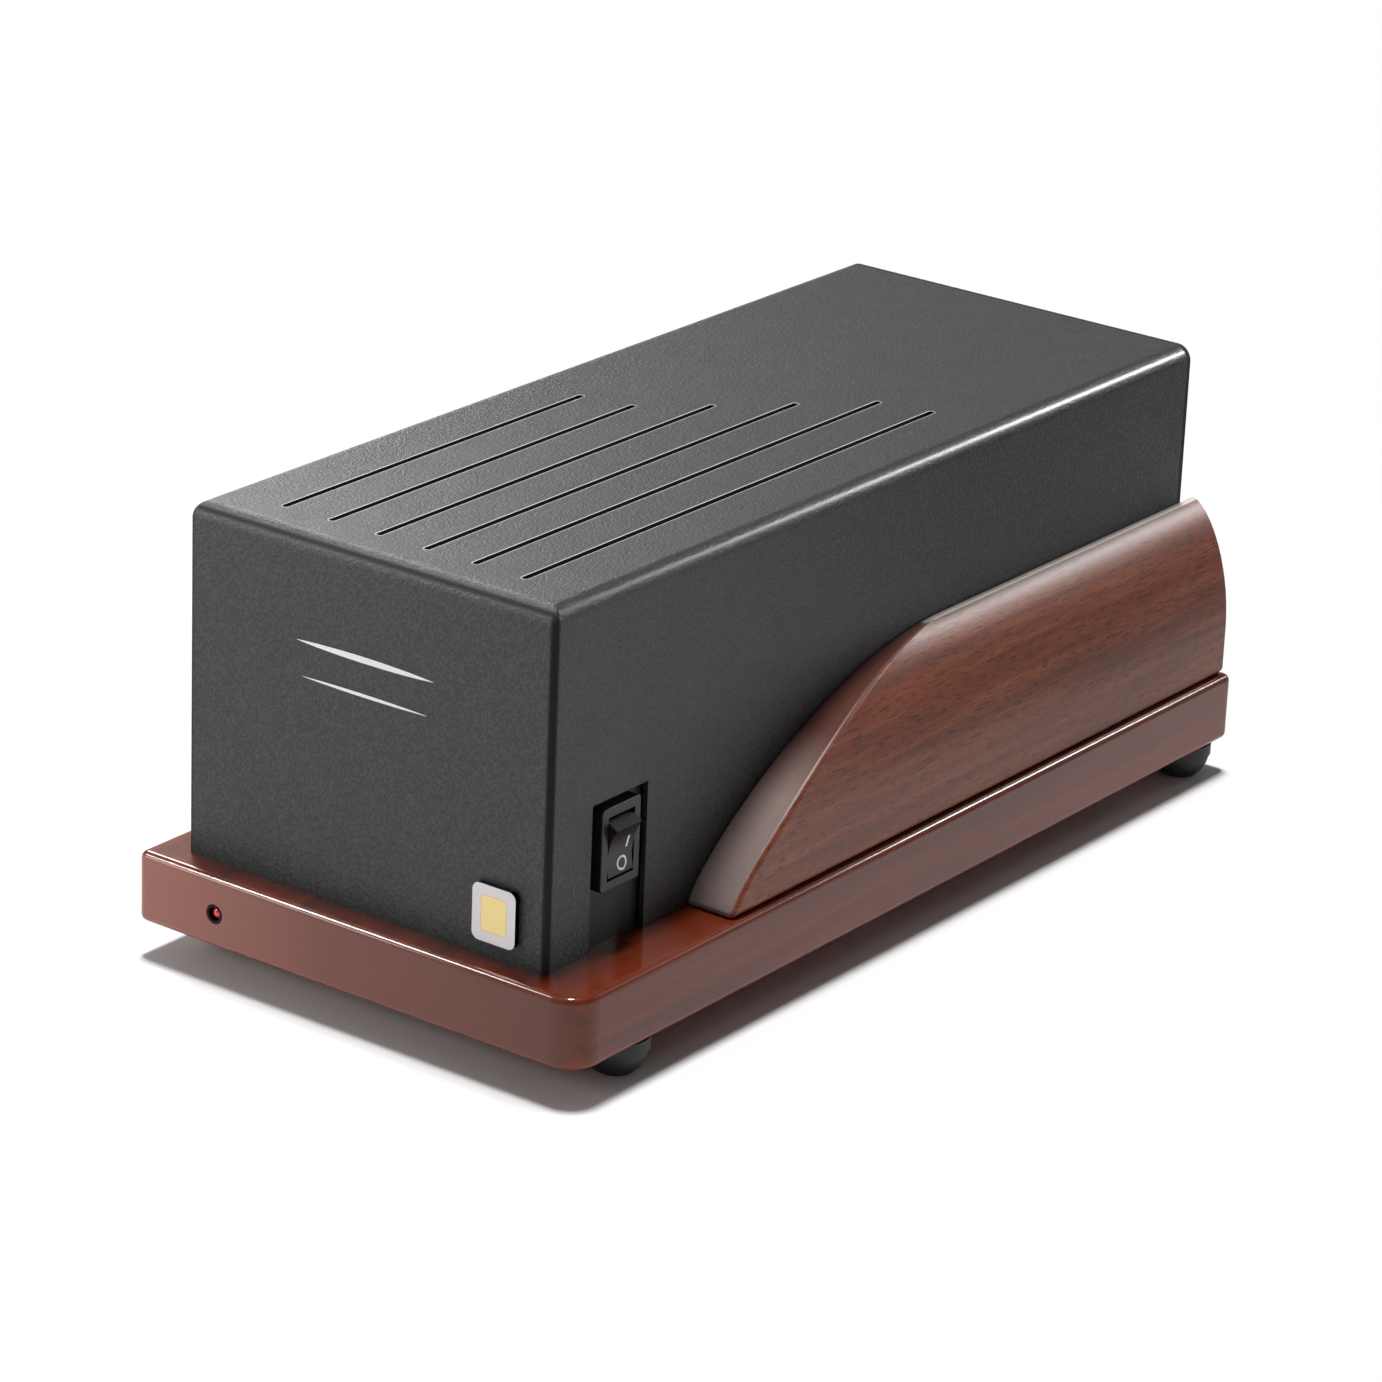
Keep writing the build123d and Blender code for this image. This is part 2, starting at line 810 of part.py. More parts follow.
def lamp_holder():
    """A black sleeve pressed into the front edge of the base."""
    sleeve = lengthwise(lamp_x, lamp_z, lamp_face, lamp_face + holder_length, holder_radius)
    flange_end = lamp_face + holder_flange
    sleeve += lengthwise(lamp_x, lamp_z, lamp_face, flange_end, holder_flange_radius)
    bore = lamp_radius + seat_gap
    return sleeve - lengthwise(lamp_x, lamp_z, lamp_face, lamp_face + holder_length, bore)


def lamp_lens():
    nose = lamp_face + lamp_recess + lamp_radius
    lens = lengthwise(lamp_x, lamp_z, nose, nose + lamp_length, lamp_radius)
    return lens + Pos(lamp_x, nose, lamp_z) * Sphere(lamp_radius)


def badge_places():
    right = cover_right - badge_side_gap
    middle_x = right - badge_width / 2
    middle_z = base_top + badge_rise + badge_height / 2
    return middle_x, middle_z


def badge_slab(margin, radius, y_low, y_high):
    middle_x, middle_z = badge_places()
    width = badge_width - 2 * margin
    height = badge_height - 2 * margin
    outline = RectangleRounded(width, height, radius)
    slab = extrude(outline, y_high - y_low)
    return Pos(middle_x, y_high, middle_z) * Rot(90, 0, 0) * slab


def badge_plate():
    face = cover_front - badge_thickness
    plate = badge_slab(0, badge_corner_radius, face, cover_front)
    pocket_floor = face + badge_inlay_depth
    margin = badge_inlay_margin - seat_gap
    return plate - badge_slab(margin, badge_inlay_radius + seat_gap, face, pocket_floor)


def badge_inlay():
    face = cover_front - badge_thickness
    back = face + badge_inlay_depth
    return badge_slab(badge_inlay_margin, badge_inlay_radius, face, back)


def phono_shell(x, z):
    """A plated shell: flange on the panel, barrel outside, threaded neck through the panel."""
    flange_end = panel_outer + phono_flange
    barrel_end = flange_end + phono_shell_length
    neck_end = panel_outer - phono_thread_length
    shell = lengthwise(x, z, panel_outer, flange_end, phono_flange_radius)
    shell += lengthwise(x, z, flange_end, barrel_end, phono_shell_radius)
    shell += lengthwise(x, z, neck_end, panel_outer, phono_thread_radius)
    return shell - lengthwise(x, z, neck_end, barrel_end, phono_shell_bore)


def phono_insulator(x, z):
    neck_end = panel_outer - phono_thread_length
    face = panel_outer + phono_flange + phono_shell_length - phono_insulator_inset
    core = lengthwise(x, z, neck_end, face, phono_shell_bore - seat_gap)
    return core - lengthwise(x, z, neck_end, face, phono_contact_bore)


def phono_contacts():
    """The centre contacts: a tube inside each insulator with a solder tail behind."""
    contacts = []
    for x, z in phono_places:
        neck_end = panel_outer - phono_thread_length
        mouth = panel_outer + phono_flange
        sleeve = phono_contact_bore - seat_gap
        tube = lengthwise(x, z, neck_end, mouth, sleeve)
        tube -= lengthwise(x, z, neck_end + sheet, mouth, phono_contact_radius)
        tail = lengthwise(x, z, neck_end - terminal_length, neck_end, phono_contact_radius)
        contacts.append(tube + tail)
    return group(contacts)


def phono_nuts():
    nuts = []
    for x, z in phono_places:
        nut = hexagon(x, z, panel_inner - phono_nut, panel_inner, phono_nut_radius)
        bore = phono_thread_radius + thread_clearance
        nuts.append(nut - lengthwise(x, z, panel_inner - phono_nut, panel_inner, bore))
    return group(nuts)


def earth_stud():
    """A threaded stud with a hexagonal collar outside the panel and a nut-shaped head inside."""
    tip = panel_outer + earth_stud_length
    stud = lengthwise(earth_x, earth_z, panel_inner - earth_nut, tip, earth_stud_radius)
    stud += hexagon(earth_x, earth_z, panel_outer, panel_outer + earth_nut, earth_nut_radius)
    return stud + hexagon(
        earth_x, earth_z, panel_inner - earth_nut, panel_inner, earth_nut_radius
    )


def earth_washer_ring():
    seat = panel_outer + earth_nut
    ring = lengthwise(earth_x, earth_z, seat, seat + earth_washer, earth_washer_radius)
    bore = earth_stud_radius + thread_clearance
    return ring - lengthwise(earth_x, earth_z, seat, seat + earth_washer, bore)


def thumb_nut_knob():
    """A nut with a serrated rim, both ends chamfered."""
    rim = []
    for i in range(2 * thumb_nut_grooves):
        radius = thumb_nut_radius - (i % 2) * thumb_nut_groove_depth
        angle = math.pi * i / thumb_nut_grooves
        rim.append((radius * math.cos(angle), radius * math.sin(angle)))
    serrated = extrude(make_face(Polyline(*rim, close=True)), thumb_nut)
    blank = upright(0, 0, 0, thumb_nut, thumb_nut_radius)
    blank = chamfer(blank.edges().filter_by(GeomType.CIRCLE), thumb_nut_groove_depth)
    knob = serrated & blank
    knob -= upright(0, 0, 0, thumb_nut, earth_stud_radius + thread_clearance)
    seat = panel_outer + earth_nut + earth_washer
    return Pos(earth_x, seat, earth_z) * Rot(-90, 0, 0) * knob


def selector_body():
    back = panel_inner - selector_body_depth
    body = block(
        selector_x - selector_body_width / 2,
        selector_x + selector_body_width / 2,
        back,
        panel_inner,
        selector_z - selector_body_height / 2,
        selector_z + selector_body_height / 2,
    )
    half_slot = (selector_knob_width + selector_travel) / 2 + hole_clearance
    half_height = selector_knob_height / 2 + hole_clearance
    return body - block(
        selector_x - half_slot,
        selector_x + half_slot,
        panel_inner - selector_slot_depth,
        panel_inner,
        selector_z - half_height,
        selector_z + half_height,
    )


def selector_slider():
    left = selector_x - (selector_knob_width + selector_travel) / 2
    knob = block(
        left,
        left + selector_knob_width,
        panel_inner - selector_slot_depth + seat_gap,
        panel_outer + selector_knob_proud,
        selector_z - selector_knob_height / 2,
        selector_z + selector_knob_height / 2,
    )
    return fillet(knob.faces().sort_by(Axis.Y)[-1].edges(), selector_edge_radius)


def mains_inlet():
    outline = RectangleRounded(inlet_width, inlet_height, inlet_corner_radius)
    flange = extrude(outline, inlet_flange)
    inlet = Pos(inlet_x, inlet_face, inlet_z) * Rot(90, 0, 0) * flange
    back = inlet_face - inlet_body_depth
    inlet += block(
        inlet_x - inlet_body_width / 2,
        inlet_x + inlet_body_width / 2,
        back,
        panel_outer,
        inlet_z - inlet_body_height / 2,
        inlet_z + inlet_body_height / 2,
    )
    cavity = block(
        inlet_x - cavity_width / 2,
        inlet_x + cavity_width / 2,
        inlet_face - cavity_depth,
        inlet_face,
        cavity_z - cavity_height / 2,
        cavity_z + cavity_height / 2,
    )
    top_corners = cavity.edges().filter_by(Axis.Y).group_by(Axis.Z)[-1]
    inlet -= chamfer(top_corners, cavity_chamfer)
    inlet -= block(
        inlet_x - drawer_width / 2 - drawer_gap,
        inlet_x + drawer_width / 2 + drawer_gap,
        inlet_face - drawer_depth - drawer_gap,
        inlet_face,
        drawer_z - drawer_height / 2 - drawer_gap,
        drawer_z + drawer_height / 2 + drawer_gap,
    )
    for x, z in blade_places():
        inlet -= block(
            x - blade_width / 2 - seat_gap,
            x + blade_width / 2 + seat_gap,
            back,
            inlet_face,
            z - blade_height / 2 - seat_gap,
            z + blade_height / 2 + seat_gap,
        )
    for side in (-1, 1):
        x = inlet_x + side * inlet_screw_spacing / 2
        hole = screw_radius + hole_clearance
        inlet -= lengthwise(x, inlet_z, panel_outer, inlet_face, hole)
    return inlet


def blade_places():
    return [
        (inlet_x - blade_spacing, cavity_z - blade_offset),
        (inlet_x, cavity_z + blade_offset),
        (inlet_x + blade_spacing, cavity_z - blade_offset),
    ]


def inlet_blades():
    floor = inlet_face - cavity_depth
    tail_end = inlet_face - inlet_body_depth - blade_tail
    return group(
        [
            block(
                x - blade_width / 2,
                x + blade_width / 2,
                tail_end,
                floor + blade_length,
                z - blade_height / 2,
                z + blade_height / 2,
            )
            for x, z in blade_places()
        ]
    )


def inlet_screws():
    turned = [
        Pos(inlet_x + side * inlet_screw_spacing / 2, inlet_face, inlet_z) * Rot(-90, 0, 0)
        for side in (-1, 1)
    ]
    return group([place * small_screw(inlet_screw_length) for place in turned])


def fuse_drawer():
    """A small drawer with a finger lip, open at the top, holding one fuse."""
    back = inlet_face - drawer_depth
    drawer = block(
        inlet_x - drawer_width / 2,
        inlet_x + drawer_width / 2,
        back,
        inlet_face,
        drawer_z - drawer_height / 2,
        drawer_z + drawer_height / 2,
    )
    front = block(
        inlet_x - drawer_width / 2 - drawer_front_margin,
        inlet_x + drawer_width / 2 + drawer_front_margin,
        inlet_face,
        inlet_face + drawer_front,
        drawer_z - drawer_height / 2 - drawer_front_margin,
        drawer_z + drawer_height / 2 + drawer_front_margin,
    )
    front = fillet(front.faces().sort_by(Axis.Y)[-1].edges(), drawer_edge_radius)
    drawer += front
    half_bed = fuse_radius + seat_gap
    bed_front = inlet_face - drawer_wall
    bed_back = bed_front - fuse_length - 2 * seat_gap
    floor = drawer_z - drawer_height / 2 + drawer_wall
    roof = drawer_z + drawer_height / 2
    middle = drawer_z
    drawer -= block(
        inlet_x - half_bed, inlet_x + half_bed, bed_back, bed_front, middle, roof
    )
    drawer -= lengthwise(inlet_x, floor + half_bed, bed_back, bed_front, half_bed)
    return drawer


def fuse_axis_height():
    return drawer_z - drawer_height / 2 + drawer_wall + fuse_radius + seat_gap


def fuse_tube():
    end = inlet_face - drawer_wall - seat_gap - fuse_cap_length / 2
    start = end - fuse_length + fuse_cap_length
    z = fuse_axis_height()
    tube = lengthwise(inlet_x, z, start, end, fuse_glass_radius)
    return tube - lengthwise(inlet_x, z, start, end, fuse_glass_radius - fuse_wall)


def fuse_caps():
    """Two end caps, each open towards the middle of the fuse and sleeved over the glass."""
    z = fuse_axis_height()
    front_end = inlet_face - drawer_wall - seat_gap
    back_end = front_end - fuse_length
    bore = fuse_glass_radius + seat_gap
    half = fuse_cap_length / 2
    front = lengthwise(inlet_x, z, front_end - fuse_cap_length, front_end, fuse_radius)
    front -= lengthwise(inlet_x, z, front_end - fuse_cap_length, front_end - half, bore)
    back = lengthwise(inlet_x, z, back_end, back_end + fuse_cap_length, fuse_radius)
    back -= lengthwise(inlet_x, z, back_end + half, back_end + fuse_cap_length, bore)
    return group([front, back])


def transformer_coil():
    """A wound ring core, wrapped in tape."""
    top = transformer_base + transformer_height
    ring = upright(transformer_x, transformer_y, transformer_base, top, transformer_radius)
    ring = fillet(ring.edges(), transformer_edge_radius)
    bore = upright(transformer_x, transformer_y, transformer_base, top, transformer_bore)
    return ring - bore


def transformer_pads():
    pads = []
    top = transformer_base + transformer_height
    pad_radius = transformer_radius - transformer_edge_radius
    for low in (tray_top, top):
        pad = upright(transformer_x, transformer_y, low, low + pad_thickness, pad_radius)
        pads.append(
            pad - upright(transformer_x, transformer_y, low, low + pad_thickness, transformer_bore)
        )
    return group(pads)


def transformer_dish():
    """A pressed steel washer whose middle dips into the coil."""
    seat = transformer_base + transformer_height + pad_thickness
    outline = [
        (bolt_radius + hole_clearance, seat - dish_dip),
        (dish_floor_radius, seat - dish_dip),
        (dish_shoulder_radius, seat),
        (dish_radius, seat),
        (dish_radius, seat + dish_thickness),
        (dish_shoulder_radius - dish_thickness, seat + dish_thickness),
        (dish_floor_radius - dish_thickness, seat - dish_dip + dish_thickness),
        (bolt_radius + hole_clearance, seat - dish_dip + dish_thickness),
    ]
    section = make_face(Plane.XZ * Polyline(*outline, close=True))
    dish = revolve(section, Axis.Z)
    return Pos(transformer_x, transformer_y, 0) * dish


def transformer_bolt():
    seat = transformer_base + transformer_height + pad_thickness - dish_dip + dish_thickness
    nut_bottom = base_top - bolt_head_height
    head = extrude(RegularPolygon(bolt_head_radius, 6), bolt_head_height)
    bolt = Pos(transformer_x, transformer_y, seat) * head
    bolt += upright(transformer_x, transformer_y, nut_bottom, seat, bolt_radius)
    nut = extrude(RegularPolygon(bolt_head_radius, 6), bolt_head_height)
    nut = Pos(transformer_x, transformer_y, nut_bottom) * nut
    bore = bolt_radius + thread_clearance
    nut -= upright(transformer_x, transformer_y, nut_bottom, base_top, bore)
    return group([bolt, nut])


def circuit_board():
    board = block(
        board_left,
        board_left + board_width,
        board_front,
        board_front + board_depth,
        board_bottom,
        board_top,
    )
    for x, y in standoff_places:
        board -= upright(x, y, board_bottom, board_top, screw_radius + hole_clearance)
    return board


def board_standoffs():
    posts = []
    for x, y in standoff_places:
        post = upright(x, y, tray_top, board_bottom, standoff_radius)
        posts.append(post - upright(x, y, tray_top, board_bottom, screw_radius + thread_clearance))
    return group(posts)


def board_screws():
    turned = [Pos(x, y, board_top) for x, y in standoff_places]
    return group([place * small_screw(board_screw_length) for place in turned])


def pin_angles():
    """Nine of ten evenly spaced places, the tenth left out as the key."""
    return [math.radians(valve_pin_pitch * i) for i in range(valve_pin_count)]


def valve_pin_points(x, y):
    return [
        (x + valve_pin_circle * math.cos(a), y + valve_pin_circle * math.sin(a))
        for a in pin_angles()
    ]


def valve_socket(x, y):
    top = board_top + valve_socket_height
    body = upright(x, y, board_top, top, valve_socket_radius)
    body = fillet(body.edges().group_by(Axis.Z)[-1], valve_socket_round)
    body -= upright(x, y, board_top, top, valve_socket_bore)
    for px, py in valve_pin_points(x, y):
        body -= upright(px, py, top - valve_pin_length, top, valve_pin_radius + thread_clearance)
    return body


def valve_glass(x, y):
    """A closed glass bulb with a flat button base and a sealed tip on top."""
    low = board_top + valve_socket_height
    shoulder = low + valve_height - valve_radius
    outside = upright(x, y, low, shoulder, valve_radius) + Pos(x, y, shoulder) * Sphere(valve_radius)
    outside += Pos(x, y, low + valve_height) * Sphere(valve_tip_radius)
    inner = valve_radius - valve_wall
    inside = upright(x, y, low + 2 * valve_wall, shoulder, inner)
    inside += Pos(x, y, shoulder) * Sphere(inner)
    return outside - inside


def valve_electrodes(x, y):
    """Two mica discs with a twin anode between them, on support rods from the base."""
    floor = board_top + valve_socket_height + 2 * valve_wall
    lower = floor + valve_pin_length / 2
    upper = lower + mica_thickness + valve_anode_height
    cage = upright(x, y, lower, lower + mica_thickness, mica_radius)
    cage += upright(x, y, upper, upper + mica_thickness, mica_radius)
    for side in (-1, 1):
        middle = x + side * valve_anode_spacing / 2
        anode = block(
            middle - valve_anode_width / 2,
            middle + valve_anode_width / 2,
            y - valve_anode_depth / 2,
            y + valve_anode_depth / 2,
            lower + mica_thickness,
            upper,
        )
        cage += fillet(anode.edges().filter_by(Axis.Z), valve_anode_round)
    for px, py in valve_pin_points(x, y):
        cage += upright(px, py, floor, lower, valve_pin_radius)
    return cage


def valve_pins():
    top = board_top + valve_socket_height
    pins = []
    for x, y in valve_places:
        for px, py in valve_pin_points(x, y):
            low = top - valve_pin_length + thread_clearance
            pins.append(upright(px, py, low, top, valve_pin_radius))
    return group(pins)


def electrolytics():
    cans = []
    for x, y in electrolytic_places:
        can = upright(x, y, board_top, board_top + electrolytic_height, electrolytic_radius)
        cans.append(fillet(can.edges(), electrolytic_round))
    return group(cans)


def film_capacitors():
    blocks = []
    for x, y in film_places:
        body = block(
            x - film_width / 2,
            x + film_width / 2,
            y - film_depth / 2,
            y + film_depth / 2,
            board_top,
            board_top + film_height,
        )
        blocks.append(fillet(body.edges().filter_by(Axis.Z), film_round))
    return group(blocks)


def sink_corner():
    last = board_front + board_depth - row_end_gap
    x_low = board_left + valve_column - sink_width / 2
    return x_low, last - sink_depth / 2


def heat_sink():
    x_low, y_low = sink_corner()
    top = board_top + sink_height
    body = block(x_low, x_low + sink_width, y_low, y_low + sink_back, board_top, top)
    step = (sink_width - sink_fin_width) / (sink_fins - 1)
    for i in range(sink_fins):
        x = x_low + i * step
        body += block(x, x + sink_fin_width, y_low, y_low + sink_depth, board_top, top)
    return body


def regulators():
    x_low, y_low = sink_corner()
    bodies = []
    for side in (-1, 1):
        x = x_low + (sink_width + side * regulator_spacing) / 2
        bodies.append(
            block(
                x - regulator_width / 2,
                x + regulator_width / 2,
                y_low - regulator_thickness,
                y_low,
                board_top + regulator_rise,
                board_top + regulator_rise + regulator_height,
            )
            + upright(
                x,
                y_low - regulator_thickness / 2,
                board_top,
                board_top + regulator_rise,
                resistor_lead_radius,
            )
        )
    return group(bodies)


def resistors():
    """Small bodies lying beside the valves, each with its two bent-down leads."""
    parts = []
    z = board_top + resistor_lift + resistor_radius
    half = resistor_length / 2
    reach = half + resistor_radius
    for x, y in resistor_places:
        body = lengthwise(x, z, y - half, y + half, resistor_radius)
        body += lengthwise(x, z, y - reach, y + reach, resistor_lead_radius)
        for side in (-1, 1):
            body += upright(x, y + side * reach, board_top, z, resistor_lead_radius)
        parts.append(body)
    return group(parts)


nodes = {
    "wood_base": wood_base(),
    "wood_fin": wood_fin(),
    "fin_screws": fin_screws(),
    "foot_screws": foot_screws(),
    "cover": cover(),
    "cover_screws": cover_screws(),
    "chassis_tray": chassis_tray(),
    "tray_screws": tray_screws(),
    "rear_panel": rear_panel(),
    "switch_bracket": switch_bracket(),
    "bracket_screws": bracket_screws(),
    "switch_body": switch_body(),
    "switch_rocker": switch_rocker(),
    "switch_terminals": switch_terminals(),
    "lamp_holder": lamp_holder(),
    "lamp_lens": lamp_lens(),
    "badge_plate": badge_plate(),
    "badge_inlay": badge_inlay(),
    "phono_contacts": phono_contacts(),
    "phono_nuts": phono_nuts(),
    "earth_stud": earth_stud(),
    "earth_washer": earth_washer_ring(),
    "earth_thumb_nut": thumb_nut_knob(),
    "selector_body": selector_body(),
    "selector_slider": selector_slider(),
    "mains_inlet": mains_inlet(),
    "inlet_blades": inlet_blades(),
    "inlet_screws": inlet_screws(),
    "fuse_drawer": fuse_drawer(),
    "fuse_tube": fuse_tube(),
    "fuse_caps": fuse_caps(),
    "transformer_coil": transformer_coil(),
    "transformer_pads": transformer_pads(),
    "transformer_dish": transformer_dish(),
    "transformer_bolt": transformer_bolt(),
    "circuit_board": circuit_board(),
    "board_standoffs": board_standoffs(),
    "board_screws": board_screws(),
    "valve_pins": valve_pins(),
    "electrolytic_capacitors": electrolytics(),
    "film_capacitors": film_capacitors(),
    "heat_sink": heat_sink(),
    "regulators": regulators(),
    "resistors": resistors(),
}
for name, (x, y) in zip(foot_names, foot_places):
    nodes[name] = foot(x, y)
for number, (x, z) in enumerate(phono_places, start=1):
    nodes[f"phono_shell_{number}"] = phono_shell(x, z)
for number, (x, y) in enumerate(valve_places, start=1):
    nodes[f"valve_glass_{number}"] = valve_glass(x, y)
nodes["valve_sockets"] = group([valve_socket(x, y) for x, y in valve_places])
nodes["valve_electrodes"] = group([valve_electrodes(x, y) for x, y in valve_places])
for side, x in zip(("outer", "inner"), (phono_places[0][0], phono_places[1][0])):
    column = [phono_insulator(x, z) for px, z in phono_places if px == x]
    nodes[f"phono_insulators_{side}"] = group(column)

os.makedirs("parts", exist_ok=True)
for name, shape in nodes.items():
    export_step(shape, f"parts/{name}.step")
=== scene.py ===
import json
import math

import bpy
from mathutils import Matrix, Vector

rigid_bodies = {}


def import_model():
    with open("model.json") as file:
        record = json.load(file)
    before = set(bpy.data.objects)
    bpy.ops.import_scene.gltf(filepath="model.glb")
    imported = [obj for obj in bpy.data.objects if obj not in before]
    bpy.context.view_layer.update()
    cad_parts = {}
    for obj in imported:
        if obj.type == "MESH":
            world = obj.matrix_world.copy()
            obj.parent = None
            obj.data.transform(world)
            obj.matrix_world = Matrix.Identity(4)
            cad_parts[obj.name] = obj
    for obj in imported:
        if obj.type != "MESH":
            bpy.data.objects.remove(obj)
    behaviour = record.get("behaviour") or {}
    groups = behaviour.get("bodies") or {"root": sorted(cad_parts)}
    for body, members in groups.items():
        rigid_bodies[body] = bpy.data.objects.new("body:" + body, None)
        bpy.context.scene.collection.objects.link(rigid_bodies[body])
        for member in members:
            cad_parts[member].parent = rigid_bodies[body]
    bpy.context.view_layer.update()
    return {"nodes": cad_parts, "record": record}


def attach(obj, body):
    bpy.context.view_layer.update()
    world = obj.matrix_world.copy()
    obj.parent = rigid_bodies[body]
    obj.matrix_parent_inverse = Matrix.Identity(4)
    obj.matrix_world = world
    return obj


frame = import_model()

mm = 0.001
nodes = frame["nodes"]
print("frame loaded:", len(nodes), "nodes")


# camera: a long lens from above the front right corner

viewpoint = {
    "place": (0.8162, -1.1312, 0.5944),  # metres
    "azimuth": 36.09,  # degrees round from the front
    "elevation": 21.34,
    "roll": 2.33,
    "focalLength": 141.6,  # mm
    "sensorWidth": 36.0,
    "clip": (0.05, 30.0),  # metres
}


def placeCamera():
    data = bpy.data.cameras.new("camera")
    data.lens = viewpoint["focalLength"]
    data.sensor_width = viewpoint["sensorWidth"]
    data.clip_start, data.clip_end = viewpoint["clip"]
    camera = bpy.data.objects.new("camera", data)
    bpy.context.scene.collection.objects.link(camera)
    turn = Matrix.Rotation(math.radians(viewpoint["azimuth"]), 4, "Z")
    tilt = Matrix.Rotation(math.radians(90 - viewpoint["elevation"]), 4, "X")
    roll = Matrix.Rotation(math.radians(viewpoint["roll"]), 4, "Z")
    camera.matrix_world = Matrix.Translation(viewpoint["place"]) @ turn @ tilt @ roll
    bpy.context.scene.camera = camera


placeCamera()
print("camera placed")


# helpers for every material

def linear(hexText):
    channels = [int(hexText[i:i + 2], 16) / 255 for i in (1, 3, 5)]
    low = [c / 12.92 if c <= 0.04045 else ((c + 0.055) / 1.055) ** 2.4 for c in channels]
    return (*low, 1.0)


def newMaterial(name):
    material = bpy.data.materials.new(name)
    material.use_nodes = True
    tree = material.node_tree
    return material, tree, tree.nodes["Principled BSDF"]


def addNode(tree, kind, values=None, links=None, **settings):
    node = tree.nodes.new(kind)
    for name, value in settings.items():
        setattr(node, name, value)
    for socket, value in (values or {}).items():
        node.inputs[socket].default_value = value
    for socket, source in (links or {}).items():
        tree.links.new(source, node.inputs[socket])
    return node


def setSockets(shader, values):
    for socket, value in values.items():
        shader.inputs[socket].default_value = value


def grainSpace(tree, sizes):  # object coordinates divided by a real size in mm along X, Y and Z
    place = addNode(tree, "ShaderNodeTexCoord")
    scale = [1 / (size * mm) for size in sizes]
    return addNode(tree, "ShaderNodeMapping", {"Scale": scale}, {"Vector": place.outputs["Object"]})


def rampBetween(tree, factor, stops):
    ramp = addNode(tree, "ShaderNodeValToRGB", links={"Fac": factor})
    ends = ramp.color_ramp.elements
    while len(ends) < len(stops):
        ends.new(0.5)
    for end, (position, colour) in zip(ends, stops):
        end.position = position
        end.color = colour if len(colour) == 4 else (*colour, 1.0)
    return ramp


# sheet steel with a textured powder coat: cured grains leave tiny dimples that break up the shine

coverCoat = {
    "colour": "#151516",
    "peakColour": "#39393a",
    "grainStops": (0.44, 0.66),  # where the noise goes from one colour to the other
    "edgeShadeColour": "#040404",  # painted shade: the folded edges are darkened in colour, standing in for the dark reflections round them
    "roughness": 0.44,
    "roughnessSpread": 0.05,
    "edgeRoughness": 0.85,
    "foldRoughness": 0.3,  # smoother over the long top folds, where the coat flows out
    "foldBump": 0.15,  # share of the grain's depth left there
    "grainMm": 0.75,  # the real grain is about 0.3 mm, drawn coarser so that it shows
    "blotchMm": 14.0,
    "depthMm": 0.24,
    "specular": 0.5,
    "low": (-63.5, -146.0, 30.0),  # the folded sheet's corners, mm
    "high": (56.5, 146.0, 127.8),
    "edgeBandMm": (2.2, 2.2, 2.8),
    "edgeBandFull": 0.55,  # share of the band at which the fold's look is full
    "slotWallShade": "#020202",  # painted shade: the walls of the cut slots are painted near black, standing in for the shade inside them
    "slotReach": (-60.0, 53.0),  # mm across, inside the sheet's two sides
    "slotFacing": 0.6,  # how far a wall's normal must point sideways
}
trayCoat = dict(coverCoat, colour="#121213", peakColour="#1c1c1d", roughness=0.55, depthMm=0.03,
                edgeBandMm=None)
panelCoat = dict(coverCoat, colour="#161617", peakColour="#222223", roughness=0.5, depthMm=0.05,
                 edgeBandMm=None)


def foldMasks(tree, look):  # the upright corners with the folds across, where shade is painted, and the long top folds
    place = addNode(tree, "ShaderNodeTexCoord")
    axes = addNode(tree, "ShaderNodeSeparateXYZ", links={"Vector": place.outputs["Object"]})
    near = []
    for axis, low, high, band in zip("XYZ", look["low"], look["high"], look["edgeBandMm"]):
        middle, half = (low + high) / 2 * mm, (high - low) / 2 * mm
        offset = addNode(tree, "ShaderNodeMath", {1: middle}, {0: axes.outputs[axis]},
                         operation="SUBTRACT")
        spread = offset if axis == "Z" else addNode(tree, "ShaderNodeMath",
                                                    links={0: offset.outputs["Value"]},
                                                    operation="ABSOLUTE")
        near.append(addNode(tree, "ShaderNodeMapRange",
                            {"From Min": half - band * mm,
                             "From Max": half - band * mm * look["edgeBandFull"]},
                            {"Value": spread.outputs["Value"]}, interpolation_type="SMOOTHSTEP"))
    upOrAcross = addNode(tree, "ShaderNodeMath", links={0: near[0].outputs["Result"],
                         1: near[2].outputs["Result"]}, operation="MAXIMUM")
    across = addNode(tree, "ShaderNodeMath", links={0: near[1].outputs["Result"],
                     1: upOrAcross.outputs["Value"]}, operation="MULTIPLY")
    along = addNode(tree, "ShaderNodeMath", links={0: near[0].outputs["Result"],
                    1: near[2].outputs["Result"]}, operation="MULTIPLY")
    return across, along


